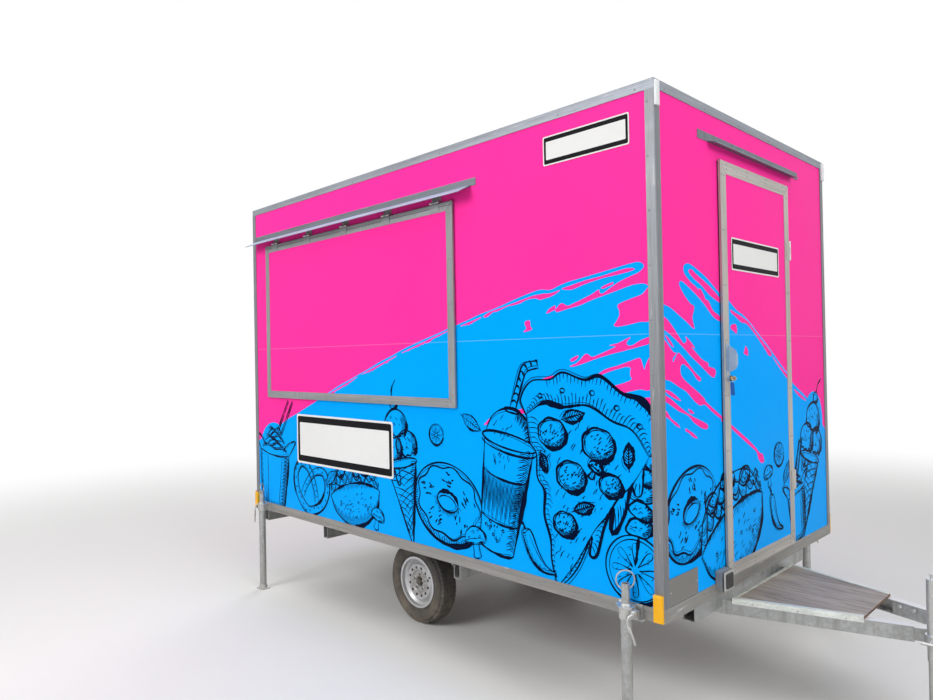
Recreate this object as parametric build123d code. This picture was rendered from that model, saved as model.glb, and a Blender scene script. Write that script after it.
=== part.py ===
from build123d import *
import math
import os

# Single-axle catering trailer: a sandwich-panel box with a serving hatch, an entrance door over a step deck,
# an A-frame drawbar, four prop stands and a jockey wheel.
# Millimetres. +X points to the coupling, +Y to the left side, +Z up; z is 0 on the ground.
# In this script x is measured from the middle of the body; save() moves it to the middle of the overall length.

# Body box
BODY_LENGTH = 3500.0
BODY_WIDTH = 2000.0
BODY_HEIGHT = 2300.0
GROUND_CLEARANCE = 580.0
WALL = 30.0
ROOF_PANEL = 30.0
FLOOR_PANEL = 40.0

# Aluminium edge profiles: they stand one profile thickness proud of the panel skins
PROFILE = 4.0
PROFILE_ROUND = 3.0
FLOOR_RAIL_HEIGHT = 60.0
FLOOR_RAIL_FLANGE = 40.0
ROOF_RAIL_HEIGHT = 44.0
ROOF_RAIL_FLANGE = 45.0
CORNER_FLANGE = 45.0
MITRE_GAP = 0.4

# Leaves: a panel in an aluminium channel that laps over the wall
SHEET = 3.0
LEAF_PROUD = 18.0
LEAF_SEAL_GAP = 7.0
LEAF_PANEL = 30.0
LEAF_WEB_INSET = 22.0
LEAF_GAP = 6.0
JAMB_STANDOUT = 2.0
JAMB_FLANGE = 34.0

# Serving hatch on the right side
HATCH_WIDTH = 2050.0
HATCH_REAR_INSET = 220.0
HATCH_SILL = 858.0
HATCH_HEAD = 310.0
HATCH_FACE = 50.0

# Entrance door in the front wall
DOOR_WIDTH = 830.0
DOOR_CENTRE_Y = -15.0
DOOR_SILL = 66.0
DOOR_HEAD = 245.0
DOOR_FACE = 60.0

# Butt hinges
HINGE_KNUCKLE = 7.0
HINGE_PIN = 3.0
HINGE_PIN_CLEARANCE = 0.3
HINGE_EDGE_GAP = 9.0
HINGE_WING = 42.0
HATCH_HINGE_LENGTH = 76.0
HATCH_HINGE_COUNT = 5
HATCH_HINGE_END_INSET = 140.0
DOOR_HINGE_LENGTH = 107.0
DOOR_HINGE_INSETS = (352.0, 360.0)

# Gas struts of the hatch: the pivot on the jamb and the eye on the leaf, from the hatch hinge's axis
STRUT_INSET = 24.0
STRUT_PIVOT_INWARD = 69.0
STRUT_PIVOT_DOWN = 100.0
STRUT_EYE_INWARD = 64.0
STRUT_EYE_DOWN = 400.0
STRUT_BARREL_R = 10.0
STRUT_ROD_R = 4.0
STRUT_ROD_CLEARANCE = 0.3
STRUT_BARREL_LENGTH = 215.0
STRUT_EYE_R = 8.0
STRUT_EYE_T = 10.0
STRUT_PIN_R = 4.0
STRUT_SIDE_GAP = 1.0

# Rain gutters above the hatch and the door
HATCH_GUTTER_OVERHANG = 170.0
HATCH_GUTTER_RISE = 55.0
HATCH_GUTTER_REACH = 94.0
HATCH_GUTTER_DROP = 43.0
HATCH_LIP_INSETS = (0.0, 40.0)
DOOR_GUTTER_OVERHANG = 188.0
DOOR_GUTTER_RISE = 69.0
DOOR_GUTTER_REACH = 48.0
DOOR_GUTTER_DROP = 14.0
DOOR_LIP_INSETS = (100.0, 100.0)
GUTTER_FLANGE = 41.0

# Chassis: main rails, full-width crossmembers and the front and rear crossmembers
RAIL_CENTRE_Y = 475.0
RAIL_WIDTH = 50.0
CHASSIS_HEIGHT = 100.0
TUBE_WALL = 4.0
END_MEMBER_WIDTH = 60.0
FRONT_MEMBER_HALF = 660.0
CROSS_WIDTH = 50.0
CROSS_FROM_AXLE = 655.0
OPEN_END_DEPTH = 150.0

# A-frame drawbar
DRAW_ANGLE = 17.4
DRAW_HALF = 370.0
BEAM_DROP = 62.0
BEAM_HEIGHT = 66.0
BEAM_FLANGE = 45.0
BEAM_SHEET = 5.0
BEAM_SHORT_OF_HOUSING = 135.0

# Step deck on the drawbar
DECK_SHEET = 12.0
DECK_LENGTH = 525.0
ANGLE_SHEET = 3.0
ANGLE_TOP = 20.0
ANGLE_SIDE = 28.0
WALL_STRIP = 14.0

# Overrun coupling
LEG_REACH = 280.0
LEG_WIDTH = 38.0
LEG_CLEARANCE = 0.3
HOUSING_FROM_APEX = 91.0
HOUSING_LENGTH = 250.0
HOUSING_WIDTH = 124.0
HOUSING_HEIGHT = 72.0
HOUSING_ROUND = 12.0
COLLAR_R = 42.0
COLLAR_LENGTH = 20.0
SHAFT_R = 25.0
SHAFT_CLEARANCE = 0.3
SHAFT_LENGTH_INSIDE = 170.0
GAITER_LENGTH = 92.0
GAITER_R = 41.0
GAITER_FOLD = 7.0
GAITER_FOLDS = 6
BALL_R = 25.0
BALL_CLEARANCE = 0.4
BALL_AHEAD = 205.0
BALL_BELOW_SHAFT = 15.0
CUP_WALL = 10.0
HEAD_WIDTH = 60.0
LEVER_PIVOT_BACK = 50.0
LEVER_PIVOT_RISE = 61.0
LEVER_LENGTH = 380.0
LEVER_LEAN_DEG = 15.0

# Axle, brakes and wheels
AXLE_X = -205.0
TYRE_R = 261.0
TYRE_WIDTH = 155.0
TYRE_WIDEST = 0.6
TRACK = 1285.0
BEAM_AHEAD = 160.0
BEAM_ABOVE = 58.0
AXLE_BEAM = 70.0
AXLE_BEAM_HALF = 500.0
AXLE_BRACKET_HALF = 95.0
AXLE_BRACKET_SHEET = 8.0
ARM_T = 30.0
ARM_BOSS_R = 38.0
STUB_R = 20.0
STUB_CLEARANCE = 0.05
BACKPLATE_R = 112.0
BACKPLATE_OFFSET = 84.0
DRUM_R = 101.0
DRUM_WALL = 9.0
HUB_R = 66.0
DISC_OFFSET = 26.0
DISC_T = 4.0
RIM_R = 152.0
RIM_FLANGE_R = 163.0
RIM_WIDTH = 114.0
RIM_WELL_R = 136.0
RIM_SHEET = 4.0
VENT_COUNT = 12
VENT_R = 9.0
VENT_CIRCLE = 90.0
HUB_BORE_R = 32.0
CAP_R = 24.0

# Prop stands
PROP_INSET = 160.0
PROP_STANDOFF = 42.0
PROP_R = 24.0
PROP_NECK_R = 18.0
PROP_NECK_LENGTH = 84.0
PROP_SWAGE = 8.0
PROP_SHEET = 2.5
PROP_TOP = 152.0
PROP_CLEARANCE = 0.3
FOOT_SIZE = (96.0, 76.0, 6.0)
FOOT_CONE_H = 26.0
BAIL_R = 40.0
BAIL_BAR = 3.5
BAIL_LIFT = 15.0
BAIL_TURN_DEG = 45.0
CLAMP_PLATE = (120.0, 6.0, 62.0)
CLAMP_WALL = 7.0
CLAMP_CAP = (13.0, 4.0)
CLAMP_EAR = (26.0, 24.0)
CLAMP_SLIT = 3.0
CLAMP_TONGUE = (14.0, 4.0)
CLAMP_BOLT_R = 6.0
CLAMP_WASHER = (12.0, 2.5)
CLAMP_HEX = (10.0, 7.0)
CLAMP_LEVER_R = 5.0
# Lever from its boss on the bolt: (x from the bolt, y outwards from the leg's axis, drop below the bolt)
CLAMP_LEVER_PATH = ((0.0, 19.0, 0.0), (-8.0, 37.0, 8.0), (-12.0, 41.0, 30.0), (-4.0, 38.0, 66.0), (18.0, 30.0, 120.0))

# Jockey wheel
JOCKEY_BEHIND_HOUSING = 59.0
JOCKEY_STANDOFF = 46.8
JOCKEY_ARM = 110.0
JOCKEY_OUTER_R = 24.0
JOCKEY_INNER_R = 21.0
JOCKEY_TUBE_CLEARANCE = 0.3
JOCKEY_TOP = 745.0
JOCKEY_SLEEVE_BOTTOM = 400.0
JOCKEY_TRAVEL = 165.0
JOCKEY_WHEEL_R = 100.0
JOCKEY_WHEEL_WIDTH = 50.0
JOCKEY_AXLE_R = 8.0
JOCKEY_TRAIL = 38.0
JOCKEY_KINGPIN_R = 10.0
FORK_SHEET = 5.0
FORK_GAP = 6.0
CRANK_REACH = 120.0

# Lamps and the supply inlet
SIDE_MARKER = (42.0, 18.0, 114.0)
SIDE_MARKER_INSET = 44.0
LAMP_FOOT = 6.0
CLEARANCE_LAMP = (12.0, 30.0, 107.0)
CLEARANCE_LAMP_INSET = 32.0
CLEARANCE_LAMP_DROP = 10.0
REAR_LAMP = (45.0, 230.0, 114.0)
REAR_LAMP_INSET = 10.0
INLET = (40.0, 100.0, 92.0)
INLET_FROM_DOOR = 7.0
INLET_Z = 28.0

# Folded pull and lock cylinder on the door frame's closing side
LATCH_FLANGE = 32.0
LATCH_HEIGHT = 156.0
LATCH_EDGE = 19.0
LATCH_ABOVE_SILL = 961.0
LATCH_STANDOUT = 34.0
LATCH_LEG_RUN = 8.0
LATCH_LIP = 15.0
LATCH_SHEET = 2.0
LATCH_TOP_SLOPE = (20.0, 46.0, 64.0)
LATCH_FOOT_SLOPE = (15.0, 34.0, 50.0)
LOCK_DROP = 17.0
LOCK_ACROSS = 23.0
LOCK_REACH = 12.0
LOCK_R = 14.0

# Derived places
X1 = BODY_LENGTH / 2
Y1 = BODY_WIDTH / 2
Z0 = GROUND_CLEARANCE
Z1 = Z0 + BODY_HEIGHT
SKIN_X = X1 - PROFILE
SKIN_Y = Y1 - PROFILE
FLOOR_Z = Z0 + PROFILE
WALL_BOTTOM = FLOOR_Z + FLOOR_PANEL
WALL_TOP = Z1 - PROFILE - ROOF_PANEL
OPENING_INSET = LEAF_WEB_INSET - LEAF_GAP
WALL_CUT_INSET = OPENING_INSET - SHEET
LEAF_BACK = -LEAF_PROUD + SHEET + LEAF_PANEL
HATCH_HEIGHT = BODY_HEIGHT - HATCH_SILL - HATCH_HEAD
HATCH_CENTRE_X = HATCH_REAR_INSET + HATCH_WIDTH / 2 - X1
DOOR_HEIGHT = BODY_HEIGHT - DOOR_SILL - DOOR_HEAD
DOOR_HINGE_HEIGHTS = (DOOR_SILL + DOOR_HINGE_INSETS[0], DOOR_SILL + DOOR_HEIGHT - DOOR_HINGE_INSETS[1])
CROSS_X = (AXLE_X + CROSS_FROM_AXLE, AXLE_X - CROSS_FROM_AXLE)
BEAM_TAN = math.tan(math.radians(DRAW_ANGLE))
BEAM_COS = math.cos(math.radians(DRAW_ANGLE))
APEX_X = X1 + DRAW_HALF / BEAM_TAN
HOUSING_X = (APEX_X - HOUSING_FROM_APEX - HOUSING_LENGTH, APEX_X - HOUSING_FROM_APEX)
BEAM_END_X = HOUSING_X[0] - BEAM_SHORT_OF_HOUSING
BEAM_TOP = Z0 - BEAM_DROP
BEAM_Z = (BEAM_TOP - BEAM_HEIGHT, BEAM_TOP)
COUPLING_Z = BEAM_TOP - BEAM_HEIGHT / 2
BALL_X = HOUSING_X[1] + BALL_AHEAD
BALL_Z = COUPLING_Z - BALL_BELOW_SHAFT
JOCKEY_X = HOUSING_X[0] - JOCKEY_BEHIND_HOUSING
JOCKEY_Y = (JOCKEY_X - X1) * BEAM_TAN - DRAW_HALF - JOCKEY_STANDOFF
PROP_X = X1 - PROP_INSET
INLET_Y = DOOR_CENTRE_Y - DOOR_WIDTH / 2 - INLET_FROM_DOOR - INLET[1]
RIM_CENTRE_Y = TRACK / 2
CUP_R = BALL_R + BALL_CLEARANCE + CUP_WALL
MID_X = (BALL_X + CUP_R - X1 - REAR_LAMP[0]) / 2


def block(x, y, z):
    """Box between a low and a high limit on each axis."""
    centre = Pos((x[0] + x[1]) / 2, (y[0] + y[1]) / 2, (z[0] + z[1]) / 2)
    return centre * Box(x[1] - x[0], y[1] - y[0], z[1] - z[0])


def rod(start, end, radius):
    """Round bar from one point to another."""
    first = Vector(*start)
    along = Vector(*end) - first
    bar = Cylinder(radius, along.length, align=(Align.CENTER, Align.CENTER, Align.MIN))
    return Plane(origin=first, z_dir=along) * bar


def turned(profile, axis=Axis.Y):
    """Solid of revolution of a closed outline given as corner points in the XY plane."""
    return revolve(make_face(Polyline(*profile, close=True)), axis)


def both_sides(shape):
    """A piece and its mirror image across the middle plane."""
    return [shape, shape.mirror(Plane.XZ)]


def save(node, *solids):
    """Writes one sub-part, moved so that x is 0 at the middle of the overall length."""
    shape = solids[0] if len(solids) == 1 else Compound(list(solids))
    export_step(Pos(-MID_X, 0, 0) * shape, f"parts/{node}.step")


# Walls and leaves are drawn lying on a wall plane: x along the wall from the leaf's middle, y inwards from the
# panel skin, z up from the leaf's lower edge. These two places put them on the right side and on the front.
ON_SIDE = Pos(HATCH_CENTRE_X, -SKIN_Y, Z0 + HATCH_SILL)
ON_FRONT = Pos(SKIN_X, DOOR_CENTRE_Y, Z0 + DOOR_SILL) * Rot(0, 0, 90)


def inset_block(width, height, inset, depth):
    """Block that covers a leaf's outline less an inset, over a depth range."""
    half = width / 2 - inset
    return block((-half, half), depth, (inset, height - inset))


def ring(width, height, outer, inner, depth):
    """Rectangular ring between two insets from a leaf's outline."""
    through = (depth[0] - 1, depth[1] + 1)
    return inset_block(width, height, outer, depth) - inset_block(width, height, inner, through)


def leaf_frame(width, height, face):
    """Channel round a leaf: lapping face, outer return, web and the lip behind the panel."""
    front = -LEAF_PROUD
    frame = ring(width, height, 0, face, (front, front + SHEET))
    frame += ring(width, height, 0, SHEET, (front, -LEAF_SEAL_GAP))
    frame += ring(width, height, LEAF_WEB_INSET, LEAF_WEB_INSET + SHEET, (front, LEAF_BACK + SHEET))
    frame += ring(width, height, LEAF_WEB_INSET, face, (LEAF_BACK, LEAF_BACK + SHEET))
    return frame


def leaf_panel(width, height):
    """Sandwich panel held in the channel."""
    return inset_block(width, height, LEAF_WEB_INSET + SHEET, (-LEAF_PROUD + SHEET, LEAF_BACK))


def jamb(width, height):
    """Lining of the opening with a flange on the inside of the wall."""
    lining = ring(width, height, WALL_CUT_INSET, OPENING_INSET, (-JAMB_STANDOUT, WALL))
    flange = ring(width, height, WALL_CUT_INSET - JAMB_FLANGE, OPENING_INSET, (WALL, WALL + SHEET))
    return lining + flange


def wall_cut(width, height):
    """What the jamb's lining replaces in the wall."""
    return inset_block(width, height, WALL_CUT_INSET, (-1, WALL + 1))


# Hinges are drawn with the axis on z, the wall towards +x, the leaf towards -x and outwards along -y
def hinge_wall_half(length):
    """Wing on the wall, risers, the two outer knuckles and the pin."""
    third = length / 6
    half = length / 2
    wing = block((0, HINGE_WING), (LEAF_PROUD - SHEET, LEAF_PROUD), (-half, half))
    part = wing + rod((0, 0, -half), (0, 0, half), HINGE_PIN)
    for low, high in ((-half, -third), (third, half)):
        part += rod((0, 0, low), (0, 0, high), HINGE_KNUCKLE)
        part += block((0, HINGE_KNUCKLE), (0, LEAF_PROUD), (low, high))
    return part


def hinge_leaf_half(length):
    """Wing on the leaf's face and the middle knuckle with its bore."""
    third = length / 6 - HINGE_PIN_CLEARANCE
    half = length / 2
    part = block((-HINGE_EDGE_GAP - HINGE_WING, -HINGE_EDGE_GAP), (-SHEET, 0), (-half, half))
    part += block((-HINGE_EDGE_GAP, 0), (-SHEET, 0), (-third, third))
    part += rod((0, 0, -third), (0, 0, third), HINGE_KNUCKLE)
    return part - rod((0, 0, -half), (0, 0, half), HINGE_PIN + HINGE_PIN_CLEARANCE)


def hatch_hinge_places():
    """Hinges spread evenly along the hatch's top edge."""
    span = HATCH_WIDTH - 2 * HATCH_HINGE_END_INSET
    step = span / (HATCH_HINGE_COUNT - 1)
    for i in range(HATCH_HINGE_COUNT):
        x = -span / 2 + i * step
        yield Pos(x, -LEAF_PROUD, HATCH_HEIGHT + HINGE_EDGE_GAP) * Rot(0, -90, 0)


def door_hinge_places():
    """Hinges up the door's left edge, by their heights above the floor of the body."""
    for height in DOOR_HINGE_HEIGHTS:
        yield Pos(DOOR_WIDTH / 2 + HINGE_EDGE_GAP, -LEAF_PROUD, height - DOOR_SILL)


def strut_points():
    """Pivot and eye of a gas strut in the plane (y inwards, z) of the hatch drawing, hatch shut."""
    axis_z = HATCH_HEIGHT + HINGE_EDGE_GAP
    pivot = (-LEAF_PROUD + STRUT_PIVOT_INWARD, axis_z - STRUT_PIVOT_DOWN)
    eye = (-LEAF_PROUD + STRUT_EYE_INWARD, axis_z - STRUT_EYE_DOWN)
    return pivot, eye


def mirrored_x(shape):
    """A piece and its mirror image across the leaf's middle."""
    return [shape, shape.mirror(Plane.YZ)]


# Body panels
def floor_panel():
    return block((-SKIN_X, SKIN_X), (-SKIN_Y, SKIN_Y), (FLOOR_Z, WALL_BOTTOM))


def roof_panel():
    return block((-SKIN_X, SKIN_X), (-SKIN_Y, SKIN_Y), (WALL_TOP, WALL_TOP + ROOF_PANEL))


def side_wall():
    """Left wall, over the whole length of the body."""
    return block((-SKIN_X, SKIN_X), (SKIN_Y - WALL, SKIN_Y), (WALL_BOTTOM, WALL_TOP))


def end_wall():
    """Front wall without its door, between the side walls."""
    half = SKIN_Y - WALL
    return block((SKIN_X - WALL, SKIN_X), (-half, half), (WALL_BOTTOM, WALL_TOP))


# Edge profiles
def mitred(rail):
    """A rail round the body cut into four lengths, with a saw's width open at each corner."""
    cut = Pos(X1, Y1, 0) * Rot(0, 0, 45) * block((-X1, Y1), (-MITRE_GAP / 2, MITRE_GAP / 2), (0, 2 * Z1))
    cut -= block((-X1, 0), (-Y1, Y1), (0, 2 * Z1))
    for one in both_sides(cut):
        rail -= one
        rail -= one.mirror(Plane.YZ)
    return rail


def floor_edge_rail():
    """Angles round the foot of the walls, with the floor panel on their flanges."""
    z = (Z0, Z0 + FLOOR_RAIL_HEIGHT)
    rail = block((-X1, X1), (-Y1, Y1), z)
    rail = fillet(rail.edges().filter_by(Axis.Z), PROFILE_ROUND)
    rail -= block((-SKIN_X, SKIN_X), (-SKIN_Y, SKIN_Y), (FLOOR_Z, z[1] + 1))
    inner_x = X1 - FLOOR_RAIL_FLANGE
    inner_y = Y1 - FLOOR_RAIL_FLANGE
    return mitred(rail - block((-inner_x, inner_x), (-inner_y, inner_y), (Z0 - 1, FLOOR_Z + 1)))


def roof_edge_rail():
    """Angles round the roof's edge, lapping the walls and the roof panel."""
    z = (Z1 - ROOF_RAIL_HEIGHT, Z1)
    rail = block((-X1, X1), (-Y1, Y1), z)
    rail = fillet(rail.edges().filter_by(Axis.Z), PROFILE_ROUND)
    rail = fillet(rail.faces().sort_by(Axis.Z)[-1].edges(), PROFILE_ROUND)
    rail -= block((-SKIN_X, SKIN_X), (-SKIN_Y, SKIN_Y), (z[0] - 1, Z1 - PROFILE))
    inner_x = X1 - ROOF_RAIL_FLANGE
    inner_y = Y1 - ROOF_RAIL_FLANGE
    return mitred(rail - block((-inner_x, inner_x), (-inner_y, inner_y), (Z1 - PROFILE - 1, Z1 + 1)))


def corner_post():
    """Angle over the front left corner, between the floor rail and the roof rail."""
    z = (Z0 + FLOOR_RAIL_HEIGHT, Z1 - ROOF_RAIL_HEIGHT)
    post = block((X1 - CORNER_FLANGE, X1), (Y1 - CORNER_FLANGE, Y1), z)
    outer_edge = post.edges().filter_by(Axis.Z).sort_by(lambda e: e.center().X + e.center().Y)[-1]
    post = fillet(outer_edge, PROFILE_ROUND)
    return post - block((0, SKIN_X), (0, SKIN_Y), (z[0] - 1, z[1] + 1))


def gutter(x, lip_insets, reach, drop):
    """Wall flange with a blade that slopes out and down, ending in a round bead. y is negative outwards."""
    flange = block(x, (-SHEET, 0), (0, GUTTER_FLANGE))
    blade_x = (x[0] + lip_insets[0], x[1] - lip_insets[1])
    section = [(0, 0), (-reach, -drop), (-reach, -drop + SHEET), (-SHEET, SHEET * 2), (0, SHEET * 2)]
    face = make_face(Plane.YZ * Polyline(*section, close=True))
    blade = Pos(blade_x[0], 0, 0) * extrude(face, blade_x[1] - blade_x[0], dir=(1, 0, 0))
    bead_y = -reach + SHEET / 2
    bead_z = -drop + SHEET / 2
    bead = rod((blade_x[0], bead_y, bead_z), (blade_x[1], bead_y, bead_z), SHEET / 2 + 0.6)
    return flange + blade + bead


# Chassis and drawbar. The beams are drawn in their own frame: x along the left beam towards the coupling, y to
# its outer side, with the origin where the beam's outer face meets the plane of the front wall.
ALONG_BEAM = Pos(X1, DRAW_HALF, 0) * Rot(0, 0, -DRAW_ANGLE)
RAIL_INNER_Y = RAIL_CENTRE_Y - RAIL_WIDTH / 2
BEAM_REAR_X = X1 - (RAIL_INNER_Y + BEAM_FLANGE - DRAW_HALF) / BEAM_TAN


def beam_span(x_from, x_to):
    """Stretch along the left beam for a stretch of x."""
    return ((x_from - X1) / BEAM_COS, (x_to - X1) / BEAM_COS)


def outside_rails():
    """Space outside the inner faces of the main rails, where the beams are cut off."""
    return block((-X1, X1), (RAIL_INNER_Y, Y1), (0, Z0))


def beam_envelope():
    """Full block that the left beam passes through."""
    span = beam_span(BEAM_REAR_X, BEAM_END_X)
    return ALONG_BEAM * block(span, (-BEAM_FLANGE, 0), BEAM_Z)


def drawbar_beam():
    """Left channel, open inwards, mitred against the main rail."""
    span = beam_span(BEAM_REAR_X, BEAM_END_X)
    channel = block(span, (-BEAM_FLANGE, 0), BEAM_Z)
    inner_z = (BEAM_Z[0] + BEAM_SHEET, BEAM_Z[1] - BEAM_SHEET)
    channel -= block((span[0] - 1, span[1] + 1), (-BEAM_FLANGE - 1, -BEAM_SHEET), inner_z)
    return ALONG_BEAM * channel - outside_rails()


def hollow_ends(x, half, z):
    """The two open ends of a crossmember's tube."""
    inner_x = (x[0] + TUBE_WALL, x[1] - TUBE_WALL)
    inner_z = (z[0] + TUBE_WALL, z[1] - TUBE_WALL)
    return both_sides(block(inner_x, (half - OPEN_END_DEPTH, half + 1), inner_z))


def chassis_frame():
    """Welded frame of rectangular tube: two rails, an end member front and rear, and full-width crossmembers."""
    z = (FLOOR_Z - CHASSIS_HEIGHT, FLOOR_Z)
    end = X1 - FLOOR_RAIL_FLANGE - 2
    half_full = Y1 - FLOOR_RAIL_FLANGE - 2
    members = [((end - END_MEMBER_WIDTH, end), FRONT_MEMBER_HALF), ((-end, -end + END_MEMBER_WIDTH), half_full)]
    members += [((x - CROSS_WIDTH / 2, x + CROSS_WIDTH / 2), half_full) for x in CROSS_X]
    rail_y = (RAIL_INNER_Y, RAIL_INNER_Y + RAIL_WIDTH)
    frame = block((-end + TUBE_WALL, end - TUBE_WALL), rail_y, z)
    frame += frame.mirror(Plane.XZ)
    for x, half in members:
        frame += block(x, (-half, half), z)
    for x, half in members:
        for pocket in hollow_ends(x, half, z):
            frame -= pocket
    for envelope in both_sides(beam_envelope() - outside_rails()):
        frame -= envelope
    return frame


def step_deck():
    """Trapezium of film-faced plywood on top of the beams."""
    front_half = DRAW_HALF - DECK_LENGTH * BEAM_TAN
    corners = [
        (X1, -DRAW_HALF),
        (X1 + DECK_LENGTH, -front_half),
        (X1 + DECK_LENGTH, front_half),
        (X1, DRAW_HALF),
    ]
    return extrude(Plane.XY.offset(BEAM_TOP) * make_face(Polyline(*corners, close=True)), DECK_SHEET)


def deck_edge_angles():
    """Angles along the deck's slanted edges, joined by a strip at the wall; the front edge of the board is bare."""
    top = BEAM_TOP + DECK_SHEET
    flange_z = (top, top + ANGLE_SHEET)
    side_z = (top + ANGLE_SHEET - ANGLE_SIDE, top + ANGLE_SHEET)
    span = beam_span(X1, X1 + DECK_LENGTH)
    front_x = X1 + DECK_LENGTH
    side = block(span, (-ANGLE_TOP, 0), flange_z) + block(span, (0, ANGLE_SHEET), side_z)
    side = ALONG_BEAM * side - block((0, X1), (0, Y1), (0, Z0)) - block((front_x, front_x + X1), (0, Y1), (0, Z0))
    part = side + side.mirror(Plane.XZ)
    return part + block((X1, X1 + WALL_STRIP), (-DRAW_HALF + ANGLE_TOP, DRAW_HALF - ANGLE_TOP), flange_z)


# Coupling
LEVER_PIVOT = (HOUSING_X[1] - LEVER_PIVOT_BACK, COUPLING_Z + LEVER_PIVOT_RISE)
SHAFT_BACK_X = HOUSING_X[1] - SHAFT_LENGTH_INSIDE


def overrun_coupling():
    """Housing with two legs in the beams' channels, a collar, the shaft's bore and the lugs of the brake lever."""
    span = beam_span(HOUSING_X[0] - LEG_REACH, (HOUSING_X[0] + HOUSING_X[1]) / 2)
    leg_z = (BEAM_Z[0] + BEAM_SHEET + LEG_CLEARANCE, BEAM_Z[1] - BEAM_SHEET - LEG_CLEARANCE)
    leg = ALONG_BEAM * block(span, (-BEAM_SHEET - LEG_WIDTH, -BEAM_SHEET), leg_z)
    leg -= block((0, 2 * X1), (-Y1, 0), (0, Z0))
    half = HOUSING_WIDTH / 2
    housing_z = (COUPLING_Z - HOUSING_HEIGHT / 2, COUPLING_Z + HOUSING_HEIGHT / 2)
    housing = block(HOUSING_X, (-half, half), housing_z)
    housing = fillet(housing.edges().filter_by(Axis.X), HOUSING_ROUND)
    part = housing + leg + leg.mirror(Plane.XZ)
    nose_x = HOUSING_X[1] + COLLAR_LENGTH
    part += rod((HOUSING_X[1], 0, COUPLING_Z), (nose_x, 0, COUPLING_Z), COLLAR_R)
    lug = block((LEVER_PIVOT[0] - 22, LEVER_PIVOT[0] + 22), (9, 17), (COUPLING_Z, LEVER_PIVOT[1]))
    lug += rod((LEVER_PIVOT[0], 9, LEVER_PIVOT[1]), (LEVER_PIVOT[0], 17, LEVER_PIVOT[1]), 22)
    for one in both_sides(lug):
        part += one
    bore = rod((SHAFT_BACK_X, 0, COUPLING_Z), (nose_x + 1, 0, COUPLING_Z), SHAFT_R + SHAFT_CLEARANCE)
    return part - bore


def coupling_gaiter():
    """Rubber bellows over the shaft: one V-shaped fold after another."""
    start = HOUSING_X[1] + COLLAR_LENGTH
    step = GAITER_LENGTH / GAITER_FOLDS
    inner = SHAFT_R + SHAFT_CLEARANCE
    outline = [(start, inner), (start, GAITER_R - GAITER_FOLD)]
    for i in range(GAITER_FOLDS):
        outline.append((start + (i + 0.5) * step, GAITER_R))
        outline.append((start + (i + 1) * step, GAITER_R - GAITER_FOLD))
    outline.append((start + GAITER_LENGTH, inner))
    return Pos(0, 0, COUPLING_Z) * turned(outline, Axis.X)


def coupling_head():
    """Shaft, pressed head, ball cup open downwards and the release handle."""
    neck_x = HOUSING_X[1] + COLLAR_LENGTH + GAITER_LENGTH
    part = rod((SHAFT_BACK_X + 2, 0, COUPLING_Z), (neck_x + 10, 0, COUPLING_Z), SHAFT_R)
    body_z = (BALL_Z - 12, COUPLING_Z + SHAFT_R)
    body = block((neck_x, BALL_X), (-HEAD_WIDTH / 2, HEAD_WIDTH / 2), body_z)
    body = fillet(body.edges().filter_by(Axis.X), 9)
    part += body
    part += rod((BALL_X, 0, BALL_Z - 16), (BALL_X, 0, BALL_Z), CUP_R)
    part += Pos(BALL_X, 0, BALL_Z) * Sphere(CUP_R)
    part -= block((BALL_X - CUP_R - 1, BALL_X + CUP_R + 1), (-CUP_R - 1, CUP_R + 1), (0, BALL_Z - 16))
    cavity = BALL_R + BALL_CLEARANCE
    part -= Pos(BALL_X, 0, BALL_Z) * Sphere(cavity)
    part -= rod((BALL_X, 0, BALL_Z - 60), (BALL_X, 0, BALL_Z), cavity)
    handle = [
        (neck_x + 12, body_z[1] - 2),
        (neck_x + 12, body_z[1] + 22),
        (BALL_X - 6, body_z[1] + 46),
        (BALL_X + 18, body_z[1] + 40),
        (BALL_X + 18, body_z[1] + 32),
        (BALL_X - 8, body_z[1] + 36),
        (neck_x + 38, body_z[1] + 14),
        (neck_x + 38, body_z[1] - 2),
    ]
    face = make_face(Plane.XZ * Polyline(*handle, close=True))
    return part + extrude(face, 16, both=True)


def handbrake_lever():
    """Flat lever on its pin between the lugs, with a round grip, drawn up as the trailer parks."""
    lean = math.radians(LEVER_LEAN_DEG)
    x, z = LEVER_PIVOT
    tip = (x - LEVER_LENGTH * math.sin(lean), 0, z + LEVER_LENGTH * math.cos(lean))
    grip_start = (x - 0.62 * (x - tip[0]), 0, z + 0.62 * (tip[2] - z))
    blade = Pos(x, 0, z) * Rot(0, -LEVER_LEAN_DEG, 0) * block((-14, 14), (-6, 6), (-16, LEVER_LENGTH * 0.7))
    blade += rod((x, -8.7, z), (x, 8.7, z), 10)
    return blade + rod(grip_start, tip, 13) + Pos(*tip) * Sphere(13)


# Axle and brakes: drawn on the left, with y outwards
def axle_beam():
    """Square torsion tube with two bolted brackets under the main rails."""
    x = AXLE_X + BEAM_AHEAD
    z = TYRE_R + BEAM_ABOVE
    half = AXLE_BEAM / 2
    beam = block((x - half, x + half), (-AXLE_BEAM_HALF, AXLE_BEAM_HALF), (z - half, z + half))
    beam = fillet(beam.edges().filter_by(Axis.Y), 8)
    top = FLOOR_Z - CHASSIS_HEIGHT
    low = top - AXLE_BRACKET_SHEET
    back = x - AXLE_BRACKET_HALF
    front = x + AXLE_BRACKET_HALF
    bracket = block((back, front), (RAIL_INNER_Y, RAIL_INNER_Y + RAIL_WIDTH), (low, top))
    web_outline = [(back, low + 1), (x - half, z), (x + half, z), (front, low + 1)]
    web = extrude(make_face(Plane.XZ * Polyline(*web_outline, close=True)), AXLE_BRACKET_SHEET / 2, both=True)
    bracket += Pos(0, RAIL_CENTRE_Y, 0) * web
    return beam + bracket + bracket.mirror(Plane.XZ)


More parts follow.
